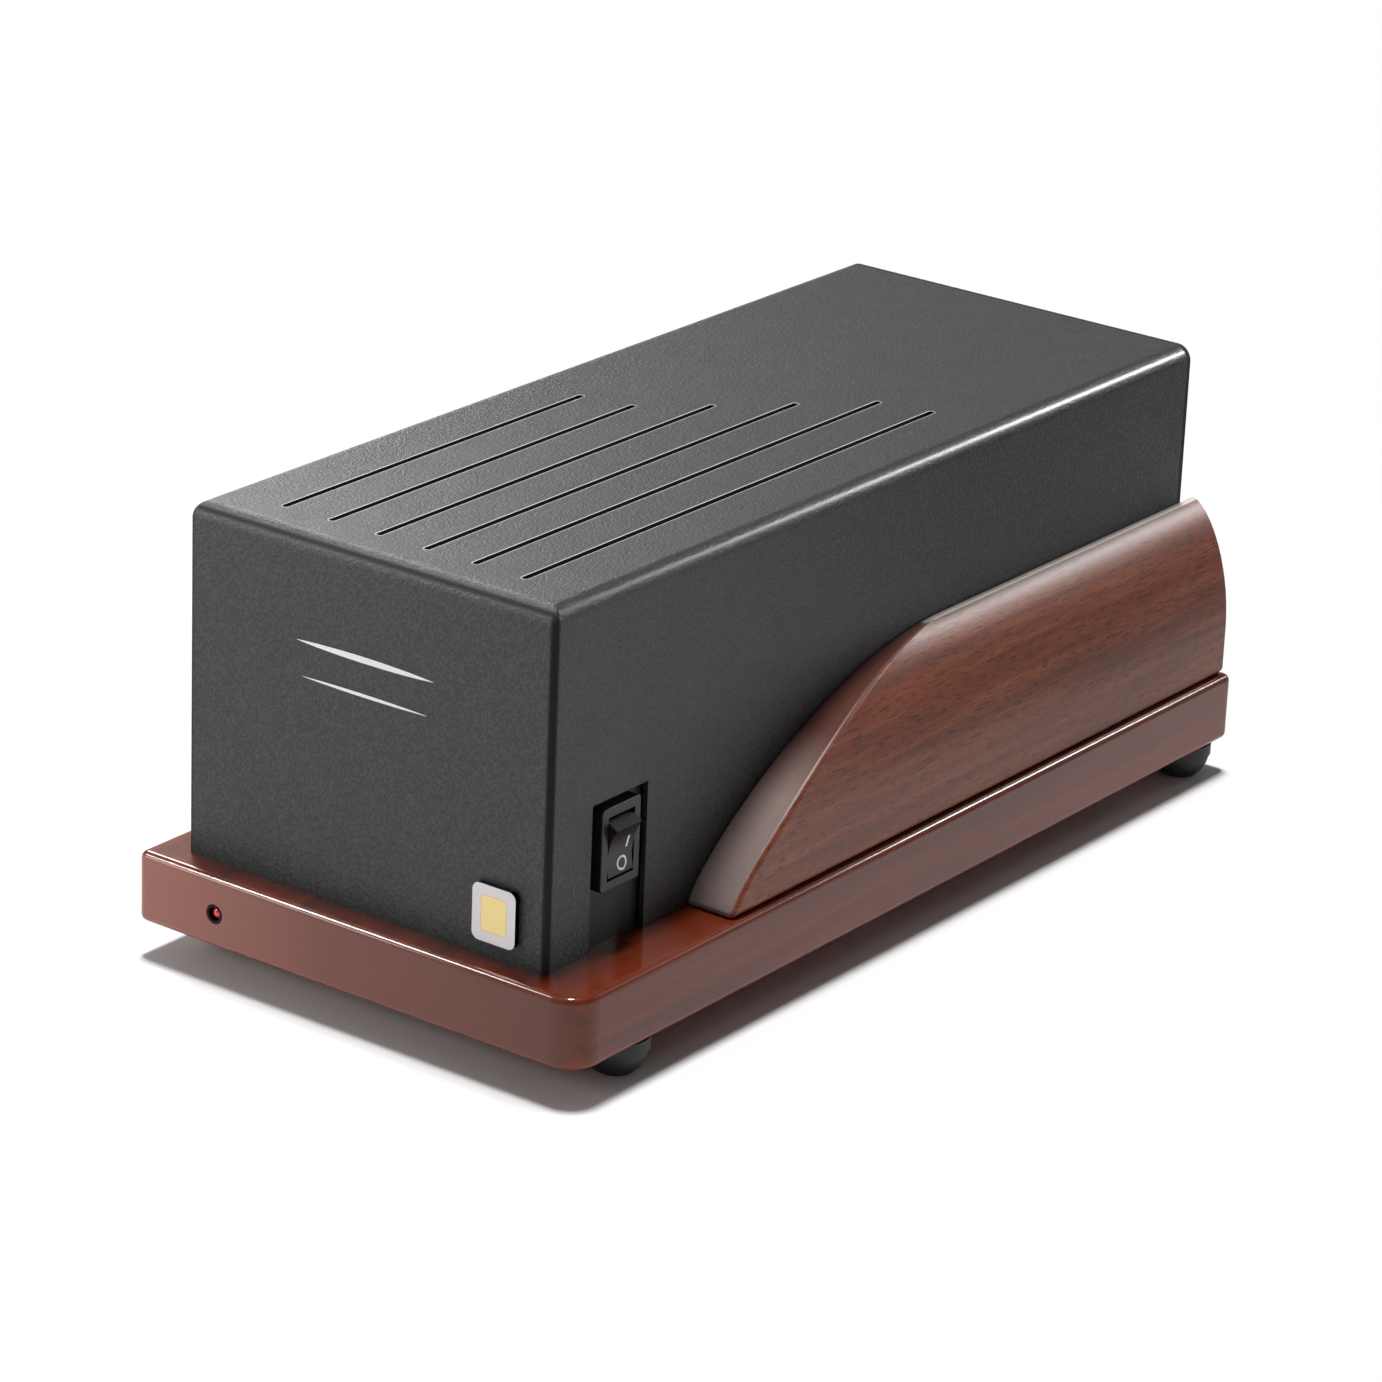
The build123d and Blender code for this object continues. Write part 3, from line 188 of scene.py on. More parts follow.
def slotWallMask(tree, look):  # 1 on walls that face sideways between the cover's two sides, where shade is painted into the slots
    place = addNode(tree, "ShaderNodeTexCoord")
    across = addNode(tree, "ShaderNodeSeparateXYZ", links={"Vector": place.outputs["Object"]})
    left, right = (value * mm for value in look["slotReach"])
    offset = addNode(tree, "ShaderNodeMath", {1: (left + right) / 2}, {0: across.outputs["X"]},
                     operation="SUBTRACT")
    spread = addNode(tree, "ShaderNodeMath", links={0: offset.outputs["Value"]},
                     operation="ABSOLUTE")
    inside = addNode(tree, "ShaderNodeMath", {1: (right - left) / 2}, {0: spread.outputs["Value"]},
                     operation="LESS_THAN")
    surface = addNode(tree, "ShaderNodeNewGeometry")
    facing = addNode(tree, "ShaderNodeSeparateXYZ", links={"Vector": surface.outputs["Normal"]})
    side = addNode(tree, "ShaderNodeMath", links={0: facing.outputs["X"]}, operation="ABSOLUTE")
    sideways = addNode(tree, "ShaderNodeMath", {1: look["slotFacing"]},
                       {0: side.outputs["Value"]}, operation="GREATER_THAN")
    return addNode(tree, "ShaderNodeMath", links={0: inside.outputs["Value"],
                   1: sideways.outputs["Value"]}, operation="MULTIPLY")


def powderCoat(name, look):
    material, tree, shader = newMaterial(name)
    fine = grainSpace(tree, [look["grainMm"]] * 3)
    grain = addNode(tree, "ShaderNodeTexNoise", {"Scale": 1.0, "Detail": 3.0, "Roughness": 0.6},
                    {"Vector": fine.outputs["Vector"]})
    broad = grainSpace(tree, [look["blotchMm"]] * 3)
    blotch = addNode(tree, "ShaderNodeTexNoise", {"Scale": 1.0, "Detail": 2.0},
                     {"Vector": broad.outputs["Vector"]})
    valley, peak = look["grainStops"]
    colour = rampBetween(tree, grain.outputs["Fac"],
                         [(valley, linear(look["colour"])), (peak, linear(look["peakColour"]))])
    spread = look["roughnessSpread"]
    rough = addNode(tree, "ShaderNodeMapRange",
                    {"To Min": look["roughness"] - spread, "To Max": look["roughness"] + spread},
                    {"Value": blotch.outputs["Fac"]})
    bump = addNode(tree, "ShaderNodeBump", {"Strength": 1.0, "Distance": look["depthMm"] * mm},
                   {"Height": grain.outputs["Fac"]})
    tree.links.new(bump.outputs["Normal"], shader.inputs["Normal"])
    setSockets(shader, {"Specular IOR Level": look["specular"]})
    if look["edgeBandMm"] is None:
        tree.links.new(colour.outputs["Color"], shader.inputs["Base Color"])
        tree.links.new(rough.outputs["Result"], shader.inputs["Roughness"])
        return material
    slots = slotWallMask(tree, look)
    # painted shade: the slot walls are mixed to near black
    paintedSlotShade = addNode(tree, "ShaderNodeMix", {"B": linear(look["slotWallShade"])},
                     {"Factor": slots.outputs["Value"], "A": colour.outputs["Color"]},
                     data_type="RGBA")
    either = addNode(tree, "ShaderNodeMath", links={0: slots.outputs["Value"],
                     1: rough.outputs["Result"]}, operation="MAXIMUM")
    paintedShadeFold, longFold = foldMasks(tree, look)
    calmed = addNode(tree, "ShaderNodeMapRange", {"To Min": 1.0, "To Max": look["foldBump"]},
                     {"Value": longFold.outputs["Value"]})
    tree.links.new(calmed.outputs["Result"], bump.inputs["Strength"])
    smoothed = addNode(tree, "ShaderNodeMix", {"B": look["foldRoughness"]},
                       {"Factor": longFold.outputs["Value"], "A": either.outputs["Value"]})
    # painted shade: the folds across are mixed towards a near-black colour, standing in for the
    # dark reflections there
    darkened = addNode(tree, "ShaderNodeMix", {"B": linear(look["edgeShadeColour"])},
                       {"Factor": paintedShadeFold.outputs["Value"], "A": paintedSlotShade.outputs["Result"]},
                       data_type="RGBA")
    dulled = addNode(tree, "ShaderNodeMix", {"B": look["edgeRoughness"]},
                     {"Factor": paintedShadeFold.outputs["Value"], "A": smoothed.outputs["Result"]})
    tree.links.new(darkened.outputs["Result"], shader.inputs["Base Color"])
    tree.links.new(dulled.outputs["Result"], shader.inputs["Roughness"])
    return material


# stained hardwood under satin lacquer: soft streaks along the length, and open pores as fine dark
# flecks that turn to specks on the end grain

baseWood = {
    "light": "#803317",
    "middle": "#6d2810",
    "dark": "#551e0b",
    "stainStops": (0.30, 0.5, 0.70),  # dark, middle and light
    "endGrainAndPaintedLight": ((0.0, "#9c6253"), (0.45, "#774034"), (1.0, "#623023")),  # left to right: painted light, lighter on the left where more light falls and darker to the right
    "paintedLightSpan": ("X", -73.5, 73.5),  # mm
    "endFrom": (0.6, 0.98),  # how far the face looks forward
    "rimFrom": None,  # where a cut face's eased rim, turned to the right, leaves the painted end shades and takes the stain again
    "pore": "#34140c",
    "streakMm": (7.0, 140.0, 7.0),
    "poreMm": (0.4, 4.5, 0.4),
    "poreStops": (0.53, 0.66),
    "poreAmount": 0.28,
    "endPores": 0.12,  # share of the pores that shows on end grain
    "poreDepthMm": 0.02,
    "roughness": 0.42,
    "specular": 0.1,
    "ior": 1.5,
    "coat": 0.65,
    "coatRoughness": 0.09,
    "paintedCrestHighlight": None,
}
finWood = dict(baseWood, light="#8f4d2e", middle="#7d3c22", dark="#69301a",
               endGrainAndPaintedLight=((0.0, "#8e7f7c"), (0.48, "#927c76"), (0.72, "#5a281c")),  # low to high: painted sheen, paler and greyer low down, and painted shade, dark brown high up
               paintedLightSpan=("Z", 30.0, 80.6), endFrom=(0.05, 0.2), rimFrom=(0.2, 0.5),
               streakMm=(3.0, 60.0, 3.0), poreMm=(0.42, 4.6, 0.42), poreAmount=0.75,
               coat=0.6, coatRoughness=0.42,
               paintedCrestHighlight={"colour": "#efe2d8", "from": 80.55, "to": 80.7})  # painted highlight along the crest; heights in mm above the table


def endGrainMask(tree, look):  # full on cut faces that look forward, where the pores thin out and the painted end shades go
    surface = addNode(tree, "ShaderNodeNewGeometry")
    facing = addNode(tree, "ShaderNodeSeparateXYZ", links={"Vector": surface.outputs["Normal"]})
    forward = addNode(tree, "ShaderNodeMath", {1: -1.0}, {0: facing.outputs["Y"]},
                      operation="MULTIPLY")
    least, full = look["endFrom"]
    mask = addNode(tree, "ShaderNodeMapRange", {"From Min": least, "From Max": full},
                   {"Value": forward.outputs["Value"]})
    if look["rimFrom"]:
        turn, rim = look["rimFrom"]
        flat = addNode(tree, "ShaderNodeMapRange", {"From Min": turn, "From Max": rim,
                       "To Min": 1.0, "To Max": 0.0}, {"Value": facing.outputs["X"]})
        mask = addNode(tree, "ShaderNodeMath", links={0: mask.outputs["Result"],
                       1: flat.outputs["Result"]}, operation="MULTIPLY")
    return mask.outputs[0]


def stainedWood(name, look):
    material, tree, shader = newMaterial(name)
    lengthwise = grainSpace(tree, look["streakMm"])
    streak = addNode(tree, "ShaderNodeTexNoise", {"Scale": 1.0, "Detail": 4.0, "Roughness": 0.55,
                     "Distortion": 0.3}, {"Vector": lengthwise.outputs["Vector"]})
    shades = [linear(look[shade]) for shade in ("dark", "middle", "light")]
    stain = rampBetween(tree, streak.outputs["Fac"], list(zip(look["stainStops"], shades)))
    narrow = grainSpace(tree, look["poreMm"])
    pore = addNode(tree, "ShaderNodeTexNoise", {"Scale": 1.0, "Detail": 2.0},
                   {"Vector": narrow.outputs["Vector"]})
    endGrainAndPaintedLight = endGrainMask(tree, look)
    shallow, deep = look["poreStops"]
    poreMask = addNode(tree, "ShaderNodeMapRange",
                       {"From Min": shallow, "From Max": deep, "To Max": look["poreAmount"]},
                       {"Value": pore.outputs["Fac"]})
    along = addNode(tree, "ShaderNodeMapRange", {"To Min": 1.0, "To Max": look["endPores"]},
                    {"Value": endGrainAndPaintedLight})
    place = addNode(tree, "ShaderNodeTexCoord")
    axes = addNode(tree, "ShaderNodeSeparateXYZ", links={"Vector": place.outputs["Object"]})
    # painted light and shade: a ramp along one axis colours the cut faces lighter at one end and
    # darker at the other
    axis, first, last = look["paintedLightSpan"]
    over = addNode(tree, "ShaderNodeMapRange", {"From Min": first * mm, "From Max": last * mm},
                   {"Value": axes.outputs[axis]})
    ends = rampBetween(tree, over.outputs["Result"],
                       [(position, linear(colour)) for position, colour in look["endGrainAndPaintedLight"]])
    shown = addNode(tree, "ShaderNodeMath", links={0: poreMask.outputs["Result"],
                    1: along.outputs["Result"]}, operation="MULTIPLY")
    calm = addNode(tree, "ShaderNodeMix", links={"Factor": endGrainAndPaintedLight,
                   "A": stain.outputs["Color"], "B": ends.outputs["Color"]}, data_type="RGBA")
    mixed = addNode(tree, "ShaderNodeMix", {"B": linear(look["pore"])},
                    {"Factor": shown.outputs["Value"], "A": calm.outputs["Result"]},
                    data_type="RGBA")
    bump = addNode(tree, "ShaderNodeBump", {"Strength": 1.0, "Distance": look["poreDepthMm"] * mm},
                   {"Height": shown.outputs["Value"]}, invert=True)
    if look["paintedCrestHighlight"]:  # painted highlight: the sharp crest is painted pale where the light catches it
        crestHighlight = addNode(tree, "ShaderNodeMapRange", {"From Min": look["paintedCrestHighlight"]["from"] * mm,
                        "From Max": look["paintedCrestHighlight"]["to"] * mm}, {"Value": axes.outputs["Z"]})
        mixed = addNode(tree, "ShaderNodeMix", {"B": linear(look["paintedCrestHighlight"]["colour"])},
                        {"Factor": crestHighlight.outputs["Result"], "A": mixed.outputs["Result"]},
                        data_type="RGBA")
    tree.links.new(mixed.outputs["Result"], shader.inputs["Base Color"])
    tree.links.new(bump.outputs["Normal"], shader.inputs["Normal"])
    setSockets(shader, {"Roughness": look["roughness"], "Coat Weight": look["coat"],
                        "IOR": look["ior"], "Specular IOR Level": look["specular"],
                        "Coat Roughness": look["coatRoughness"]})
    return material


# moulded plastics and rubber: the mould's spark-eroded skin leaves an even fine bump

mouldStops = (0.3, 0.7)  # where the noise goes from the colour to the tint
switchNylon = {"colour": "#0a0a0b", "tint": "#161617", "roughness": 0.36, "grainMm": 0.5,
               "depthMm": 0.012, "ior": 1.45}
rockerNylon = dict(switchNylon, colour="#0b0b0c", tint="#131314", roughness=0.34)
holderNylon = dict(switchNylon, colour="#020202", tint="#050505", roughness=0.5, ior=1.25)
inletPlastic = dict(switchNylon, colour="#151516", tint="#1e1e1f")
selectorPlastic = dict(switchNylon, colour="#2b2b2c", tint="#353536", roughness=0.4)
footRubber = {"colour": "#121213", "tint": "#1d1d1e", "roughness": 0.62, "grainMm": 0.8,
              "depthMm": 0.02, "ior": 1.52}
insulatorWhite = {"colour": "#dcdad4", "tint": "#e6e4df", "roughness": 0.3, "grainMm": 0.7,
                  "depthMm": 0.004, "ior": 1.38}
insulatorRed = dict(insulatorWhite, colour="#8e1a16", tint="#a3231d", ior=1.5)
# polyester tape over copper wire, its turns showing as soft ridges
windingTape = {"colour": "#b88a2e", "tint": "#c99b3d", "roughness": 0.28, "grainMm": 5.0,
               "depthMm": 0.15, "ior": 1.6}
# glass laminate under green solder resist, which is smooth and a little wavy
boardLaminate = {"colour": "#174a2a", "tint": "#1f5a34", "roughness": 0.3, "grainMm": 1.4,
                 "depthMm": 0.02, "ior": 1.55}
# a shrunk vinyl sleeve, dipped epoxy, baked enamel and glazed steatite: all smooth and glossy
canSleeve = {"colour": "#16202f", "tint": "#1d2a3d", "roughness": 0.25, "grainMm": 3.0,
             "depthMm": 0.01, "ior": 1.5}
filmBox = dict(canSleeve, colour="#7d1f18", tint="#8c281f")
resistorEnamel = dict(canSleeve, colour="#3f7f96", tint="#4c8ea5")
socketCeramic = dict(canSleeve, colour="#d5cfc0", tint="#ded9cc", ior=1.6)
regulatorEpoxy = dict(inletPlastic, colour="#202022", tint="#2a2a2c", roughness=0.6)  # matt


def moulded(name, look):
    material, tree, shader = newMaterial(name)
    fine = grainSpace(tree, [look["grainMm"]] * 3)
    grain = addNode(tree, "ShaderNodeTexNoise", {"Scale": 1.0, "Detail": 2.0},
                    {"Vector": fine.outputs["Vector"]})
    colour = rampBetween(tree, grain.outputs["Fac"],
                         list(zip(mouldStops, (linear(look["colour"]), linear(look["tint"])))))
    bump = addNode(tree, "ShaderNodeBump", {"Strength": 1.0, "Distance": look["depthMm"] * mm},
                   {"Height": grain.outputs["Fac"]})
    tree.links.new(colour.outputs["Color"], shader.inputs["Base Color"])
    tree.links.new(bump.outputs["Normal"], shader.inputs["Normal"])
    setSockets(shader, {"Roughness": look["roughness"], "IOR": look["ior"]})
    return material


# bare and plated metals: tool lines and handling vary the shine

badgeSilver = {"colour": "#c4bfc1", "roughness": 0.36, "spread": 0.1, "lineMm": (0.25, 6.0, 6.0),
               "sideColour": "#0c0c0c", "frontFacing": 0.5}  # brushed upright, with blackened sides
badgeGold = dict(badgeSilver, colour="#d9c48a")
phonoPlating = {"colour": "#d8b25e", "roughness": 0.2, "spread": 0.06,
                "lineMm": (2.0, 0.3, 2.0)}  # thin gold over turned brass: bright, with fine rings
contactBrass = dict(phonoPlating, colour="#c9a96a", roughness=0.3)
capNickel = dict(phonoPlating, colour="#c4c2bc", roughness=0.25)
zincSteel = dict(phonoPlating, colour="#b5b6b4", roughness=0.36, lineMm=(1.5, 1.5, 1.5))
blackScrew = dict(phonoPlating, colour="#2e2e2f", roughness=0.4)  # black oxide under oil
standoffBrass = dict(phonoPlating, colour="#c2b68c", roughness=0.32)
sinkBlack = dict(phonoPlating, colour="#232325", roughness=0.5)  # anodised black, so matt
electrodeSteel = dict(phonoPlating, colour="#4b4a49", roughness=0.55)  # carbonised: dull


def metal(name, look):
    material, tree, shader = newMaterial(name)
    if "sideColour" in look:  # only the front is polished
        surface = addNode(tree, "ShaderNodeNewGeometry")
        facing = addNode(tree, "ShaderNodeSeparateXYZ", links={"Vector": surface.outputs["Normal"]})
        front = addNode(tree, "ShaderNodeMath", {1: -look["frontFacing"]},
                        {0: facing.outputs["Y"]}, operation="LESS_THAN")
        polished = addNode(tree, "ShaderNodeMix", {"A": linear(look["sideColour"]),
                           "B": linear(look["colour"])}, {"Factor": front.outputs["Value"]},
                           data_type="RGBA")
        tree.links.new(polished.outputs["Result"], shader.inputs["Base Color"])
    lines = grainSpace(tree, look["lineMm"])
    wear = addNode(tree, "ShaderNodeTexNoise", {"Scale": 1.0, "Detail": 3.0},
                   {"Vector": lines.outputs["Vector"]})
    low, high = look["roughness"] - look["spread"], look["roughness"] + look["spread"]
    rough = addNode(tree, "ShaderNodeMapRange", {"To Min": low, "To Max": high},
                    {"Value": wear.outputs["Fac"]})
    tree.links.new(rough.outputs["Result"], shader.inputs["Roughness"])
    setSockets(shader, {"Base Color": linear(look["colour"]), "Metallic": 1.0})
    return material


# clear glass, and the red epoxy of the pilot lamp

clearGlass = {"colour": "#f2f6f6", "roughness": 0.03, "ior": 1.5}
lampRed = {"colour": "#b80d12", "glow": "#d01010", "glowStrength": 0.2, "roughness": 0.07,
           "coat": 1.0, "coatRoughness": 0.03}


def glass(name, look):
    material, tree, shader = newMaterial(name)
    setSockets(shader, {"Base Color": linear(look["colour"]), "Roughness": look["roughness"],
                        "IOR": look["ior"], "Transmission Weight": 1.0})
    return material


def litLens(name, look):
    material, tree, shader = newMaterial(name)
    setSockets(shader, {"Base Color": linear(look["colour"]), "Roughness": look["roughness"],
                        "Emission Color": linear(look["glow"]), "Coat Weight": look["coat"],
                        "Emission Strength": look["glowStrength"],
                        "Coat Roughness": look["coatRoughness"]})
    return material


finishes = {
    "cover_coat": powderCoat("coverPowderCoat", coverCoat),
    "panel_coat": powderCoat("panelPowderCoat", panelCoat),
    "tray_coat": powderCoat("trayPowderCoat", trayCoat),
    "base_wood": stainedWood("baseStainedHardwood", baseWood),
    "fin_wood": stainedWood("finStainedHardwood", finWood),
    "switch_nylon": moulded("switchNylon", switchNylon),
    "rocker_nylon": moulded("rockerNylon", rockerNylon),
    "inlet_plastic": moulded("inletPolyamide", inletPlastic),
    "selector_plastic": moulded("selectorNylon", selectorPlastic),
    "foot_rubber": moulded("footRubber", footRubber),
    "insulator_white": moulded("whiteInsulator", insulatorWhite),
    "insulator_red": moulded("redInsulator", insulatorRed),
    "winding_tape": moulded("windingPolyesterTape", windingTape),
    "board_laminate": moulded("boardSolderResist", boardLaminate),
    "can_sleeve": moulded("canShrinkSleeve", canSleeve),
    "film_box": moulded("filmCapacitorEpoxy", filmBox),
    "regulator_epoxy": moulded("regulatorEpoxy", regulatorEpoxy),
    "resistor_enamel": moulded("resistorEnamel", resistorEnamel),
    "socket_ceramic": moulded("socketSteatite", socketCeramic),
    "badge_silver": metal("badgeSilver", badgeSilver),
    "badge_gold": metal("badgeGold", badgeGold),
    "phono_plating": metal("phonoGoldPlate", phonoPlating),
    "contact_brass": metal("contactBrass", contactBrass),
    "cap_nickel": metal("capNickelPlate", capNickel),
    "zinc_steel": metal("dishZincPlate", zincSteel),
    "wood_screw_zinc": metal("screwZincPlate", zincSteel),
    "black_screw": metal("screwBlackOxide", blackScrew),
    "standoff_brass": metal("standoffBrass", standoffBrass),
    "sink_black": metal("sinkBlackAnodise", sinkBlack),
    "electrode_steel": metal("electrodeNickel", electrodeSteel),
    "clear_glass": glass("valveGlass", clearGlass),
    "lamp_red": litLens("lampRedEpoxy", lampRed),
}

nodeFinishes = {"lamp_holder": moulded("lampHolderNylon", holderNylon)}

for part in frame["record"]["subparts"]:
    data = nodes[part["node"]].data
    data.materials.clear()
    data.materials.append(nodeFinishes.get(part["node"], finishes[part["material_slot"]]))
print("finishes assigned:", len(finishes))


# small printed and worn details

def deselectAll():
    for item in bpy.data.objects:
        item.select_set(False)


def finishPiece(piece, name, body, material):
    piece.name = name
    piece.data.name = name
    bpy.ops.object.transform_apply(location=True, rotation=True, scale=True)
    piece.data.materials.clear()
    piece.data.materials.append(material)
    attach(piece, body)


def applyModifier(piece, kind, **settings):
    modifier = piece.modifiers.new(kind.lower(), kind)
    for name, value in settings.items():
        setattr(modifier, name, value)
    bpy.ops.object.modifier_apply(modifier=modifier.name)


inkWhite = {"colour": "#f6f6f6", "tint": "#ffffff", "roughness": 0.5, "grainMm": 0.6,
            "depthMm": 0.004, "ior": 1.5}

# the I and O of the rocker: screen-printed ink that follows the hollow of its face
rockerMarks = {
    "onPlace": (61.0, -115.3, 57.8),  # mm, in front of the face
    "onSize": (0.62, 3.3),
    "offPlace": (61.0, -116.9, 52.2),
    "offRadius": 2.0,
    "stroke": 0.58,
    "inkMm": 0.06,
    "gapMm": 0.01,
    "ringSteps": 56,
    "barCuts": 7,
}


def drapeOnRocker(piece):
    applyModifier(piece, "SHRINKWRAP", target=nodes["switch_rocker"], wrap_method="PROJECT",
                  use_project_x=True, use_negative_direction=True,
                  use_positive_direction=False, offset=rockerMarks["gapMm"] * mm)
    applyModifier(piece, "SOLIDIFY", thickness=rockerMarks["inkMm"] * mm, offset=1.0)


def makeRockerMarks():
    ink = moulded("rockerInk", inkWhite)
    deselectAll()
    bpy.ops.mesh.primitive_circle_add(
        vertices=rockerMarks["ringSteps"], radius=rockerMarks["offRadius"] * mm, fill_type="NGON",
        rotation=(0, math.pi / 2, 0), location=[v * mm for v in rockerMarks["offPlace"]])
    ring = bpy.context.object
    bpy.ops.object.transform_apply(location=True, rotation=True, scale=True)
    bpy.ops.object.mode_set(mode="EDIT")
    bpy.ops.mesh.inset(thickness=rockerMarks["stroke"] * mm)
    bpy.ops.mesh.delete(type="FACE")
    bpy.ops.object.mode_set(mode="OBJECT")
    drapeOnRocker(ring)
    finishPiece(ring, "rockerOffMark", "rocker", ink)
    deselectAll()
    width, height = rockerMarks["onSize"]
    bpy.ops.mesh.primitive_plane_add(size=1.0, rotation=(0, math.pi / 2, 0),
                                     location=[v * mm for v in rockerMarks["onPlace"]])
    bar = bpy.context.object
    bar.scale = (height * mm, width * mm, 1.0)
    bpy.ops.object.transform_apply(location=True, rotation=True, scale=True)
    bpy.ops.object.mode_set(mode="EDIT")
    bpy.ops.mesh.subdivide(number_cuts=rockerMarks["barCuts"])
    bpy.ops.object.mode_set(mode="OBJECT")
    drapeOnRocker(bar)
    finishPiece(bar, "rockerOnMark", "rocker", ink)


# a plain pair of tapered rules printed on the cover's front
frontRules = {
    "face": -146.0,  # mm
    "middle": -4.2,
    "rows": ((99.2, 45.0, 1.7), (89.6, 41.0, 0.9)),  # height, length and thickness of each
    "inkMm": 0.08,
    "steps": 24,
    "tipShare": 0.02,  # of the thickness, left at the points
    "taper": 0.8,
}


def makeFrontRules():
    ink = moulded("coverInk", inkWhite)
    middle = frontRules["middle"]
    for index, (height, length, thickness) in enumerate(frontRules["rows"]):
        deselectAll()
        bpy.ops.mesh.primitive_grid_add(
            x_subdivisions=frontRules["steps"], y_subdivisions=1, size=1.0,
            rotation=(math.pi / 2, 0, 0),
            location=(middle * mm, frontRules["face"] * mm, height * mm))
        rule = bpy.context.object
        rule.scale = (length * mm, thickness * mm, 1.0)
        bpy.ops.object.transform_apply(location=True, rotation=True, scale=True)
        for corner in rule.data.vertices:  # full in the middle, drawn out to fine points
            share = (corner.co.x / mm - middle) / (length / 2)
            full = max(frontRules["tipShare"], 1 - share ** 2) ** frontRules["taper"]
            corner.co.z = height * mm + (corner.co.z - height * mm) * full
        applyModifier(rule, "SOLIDIFY", thickness=frontRules["inkMm"] * mm, offset=1.0)
        finishPiece(rule, f"coverRule{index + 1}", "chassis", ink)


# painted highlights: pale rims round the ventilation slots' cut edges, standing in for the light
# caught there
slotHighlightLips = {
    "middle": -3.5,  # mm across the cover
    "pitch": 15.7,
    "front": -133.5,
    "lengths": (125.0, 128.0, 143.0, 160.0, 177.0, 180.0),
    "width": 2.5,
    "top": 127.8,
    "lipMm": 0.225,
    "shiftMm": 0.065,  # the left rim is wider, for the brighter painted highlight on that side
    "deepMm": 0.06,
    "ends": 12,
    "waist": 0.01,  # share of the radius: corners this near the middle stay there
}
# painted highlight: a near-white colour for the slot rims
slotEdgeHighlight = {"colour": "#e2e2e2", "tint": "#f0f0f0", "roughness": 0.5, "grainMm": 3.0,
            "depthMm": 0.02, "ior": 1.5}


def makeSlotHighlightLips():
    material = moulded("slotPaintedHighlight", slotEdgeHighlight)
    radius = slotHighlightLips["width"] / 2
    lastIndex = len(slotHighlightLips["lengths"]) - 1
    for index, length in enumerate(slotHighlightLips["lengths"]):
        deselectAll()
        x = slotHighlightLips["middle"] + (index - lastIndex / 2) * slotHighlightLips["pitch"]
        middle = (slotHighlightLips["front"] + length / 2) * mm
        bpy.ops.mesh.primitive_circle_add(
            vertices=slotHighlightLips["ends"] * 2, radius=radius * mm, fill_type="NGON",
            location=(x * mm, middle, slotHighlightLips["top"] * mm))
        lip = bpy.context.object
        bpy.ops.object.transform_apply(location=True, rotation=True, scale=True)
        stretch = (length / 2 - radius) * mm
        for corner in lip.data.vertices:  # the round is parted into two ends
            if abs(corner.co.y - middle) > radius * mm * slotHighlightLips["waist"]:
                corner.co.y += math.copysign(stretch, corner.co.y - middle)
        bpy.ops.object.mode_set(mode="EDIT")
        bpy.ops.mesh.inset(thickness=slotHighlightLips["lipMm"] * mm)
        bpy.ops.transform.translate(value=(slotHighlightLips["shiftMm"] * mm, 0, 0))
        bpy.ops.mesh.delete(type="FACE")
        bpy.ops.object.mode_set(mode="OBJECT")
        applyModifier(lip, "SOLIDIFY", thickness=slotHighlightLips["deepMm"] * mm, offset=-1.0)
        finishPiece(lip, f"slotHighlightLip{index + 1}", "chassis", material)


makeRockerMarks()
makeFrontRules()
makeSlotHighlightLips()
print("printed marks and slot edges made")


# floor, world and lights

studio = {
    "floorColour": "#fdfdfd",
    "floorRoughness": 0.9,
    "floorSize": 24.0,  # metres
    "litRadius": (0.24, 0.42),  # metres from the middle: real paper inside, plain white beyond
    "wallRadius": 11.9,
    "wallHeight": 1.8,
    "wallSides": 96,
    "worldColour": "#ffffff",
    "worldStrength": 0.09,
    "sunStrength": 2.98,
    "sunAngle": 9.0,  # degrees across, a large diffuser overhead
    "sunTilt": (-4.0, -4.0),  # degrees, towards the back and the left
    "bank": {"place": (-0.64, 0.36, 0.58), "size": (0.25, 0.25), "energy": 3.9},
    "strip": {"place": (0.33, 0.80, 0.52), "size": (0.10, 0.24), "energy": 5.0},
    "bankFar": {"place": (-0.48, 0.85, 0.48), "size": (0.35, 0.35), "energy": 0.14},
    "edgeBar": {"place": (-0.37, -0.37, 0.48), "size": (0.11, 0.20), "energy": 3.6},
    "frontLeft": {"place": (-0.26, -0.42, 0.17), "size": (0.12, 0.12), "energy": 0.4},
    "aim": (0, 0, 0.06),  # what the lamps point at
    "flag": {"place": (0.165, 0.50, 0.10), "size": (0.9, 0.20), "colour": "#9a9a9a",
             "thinEnd": (-0.5, -0.44)},  # grey card beside the part, in shares of its length
}


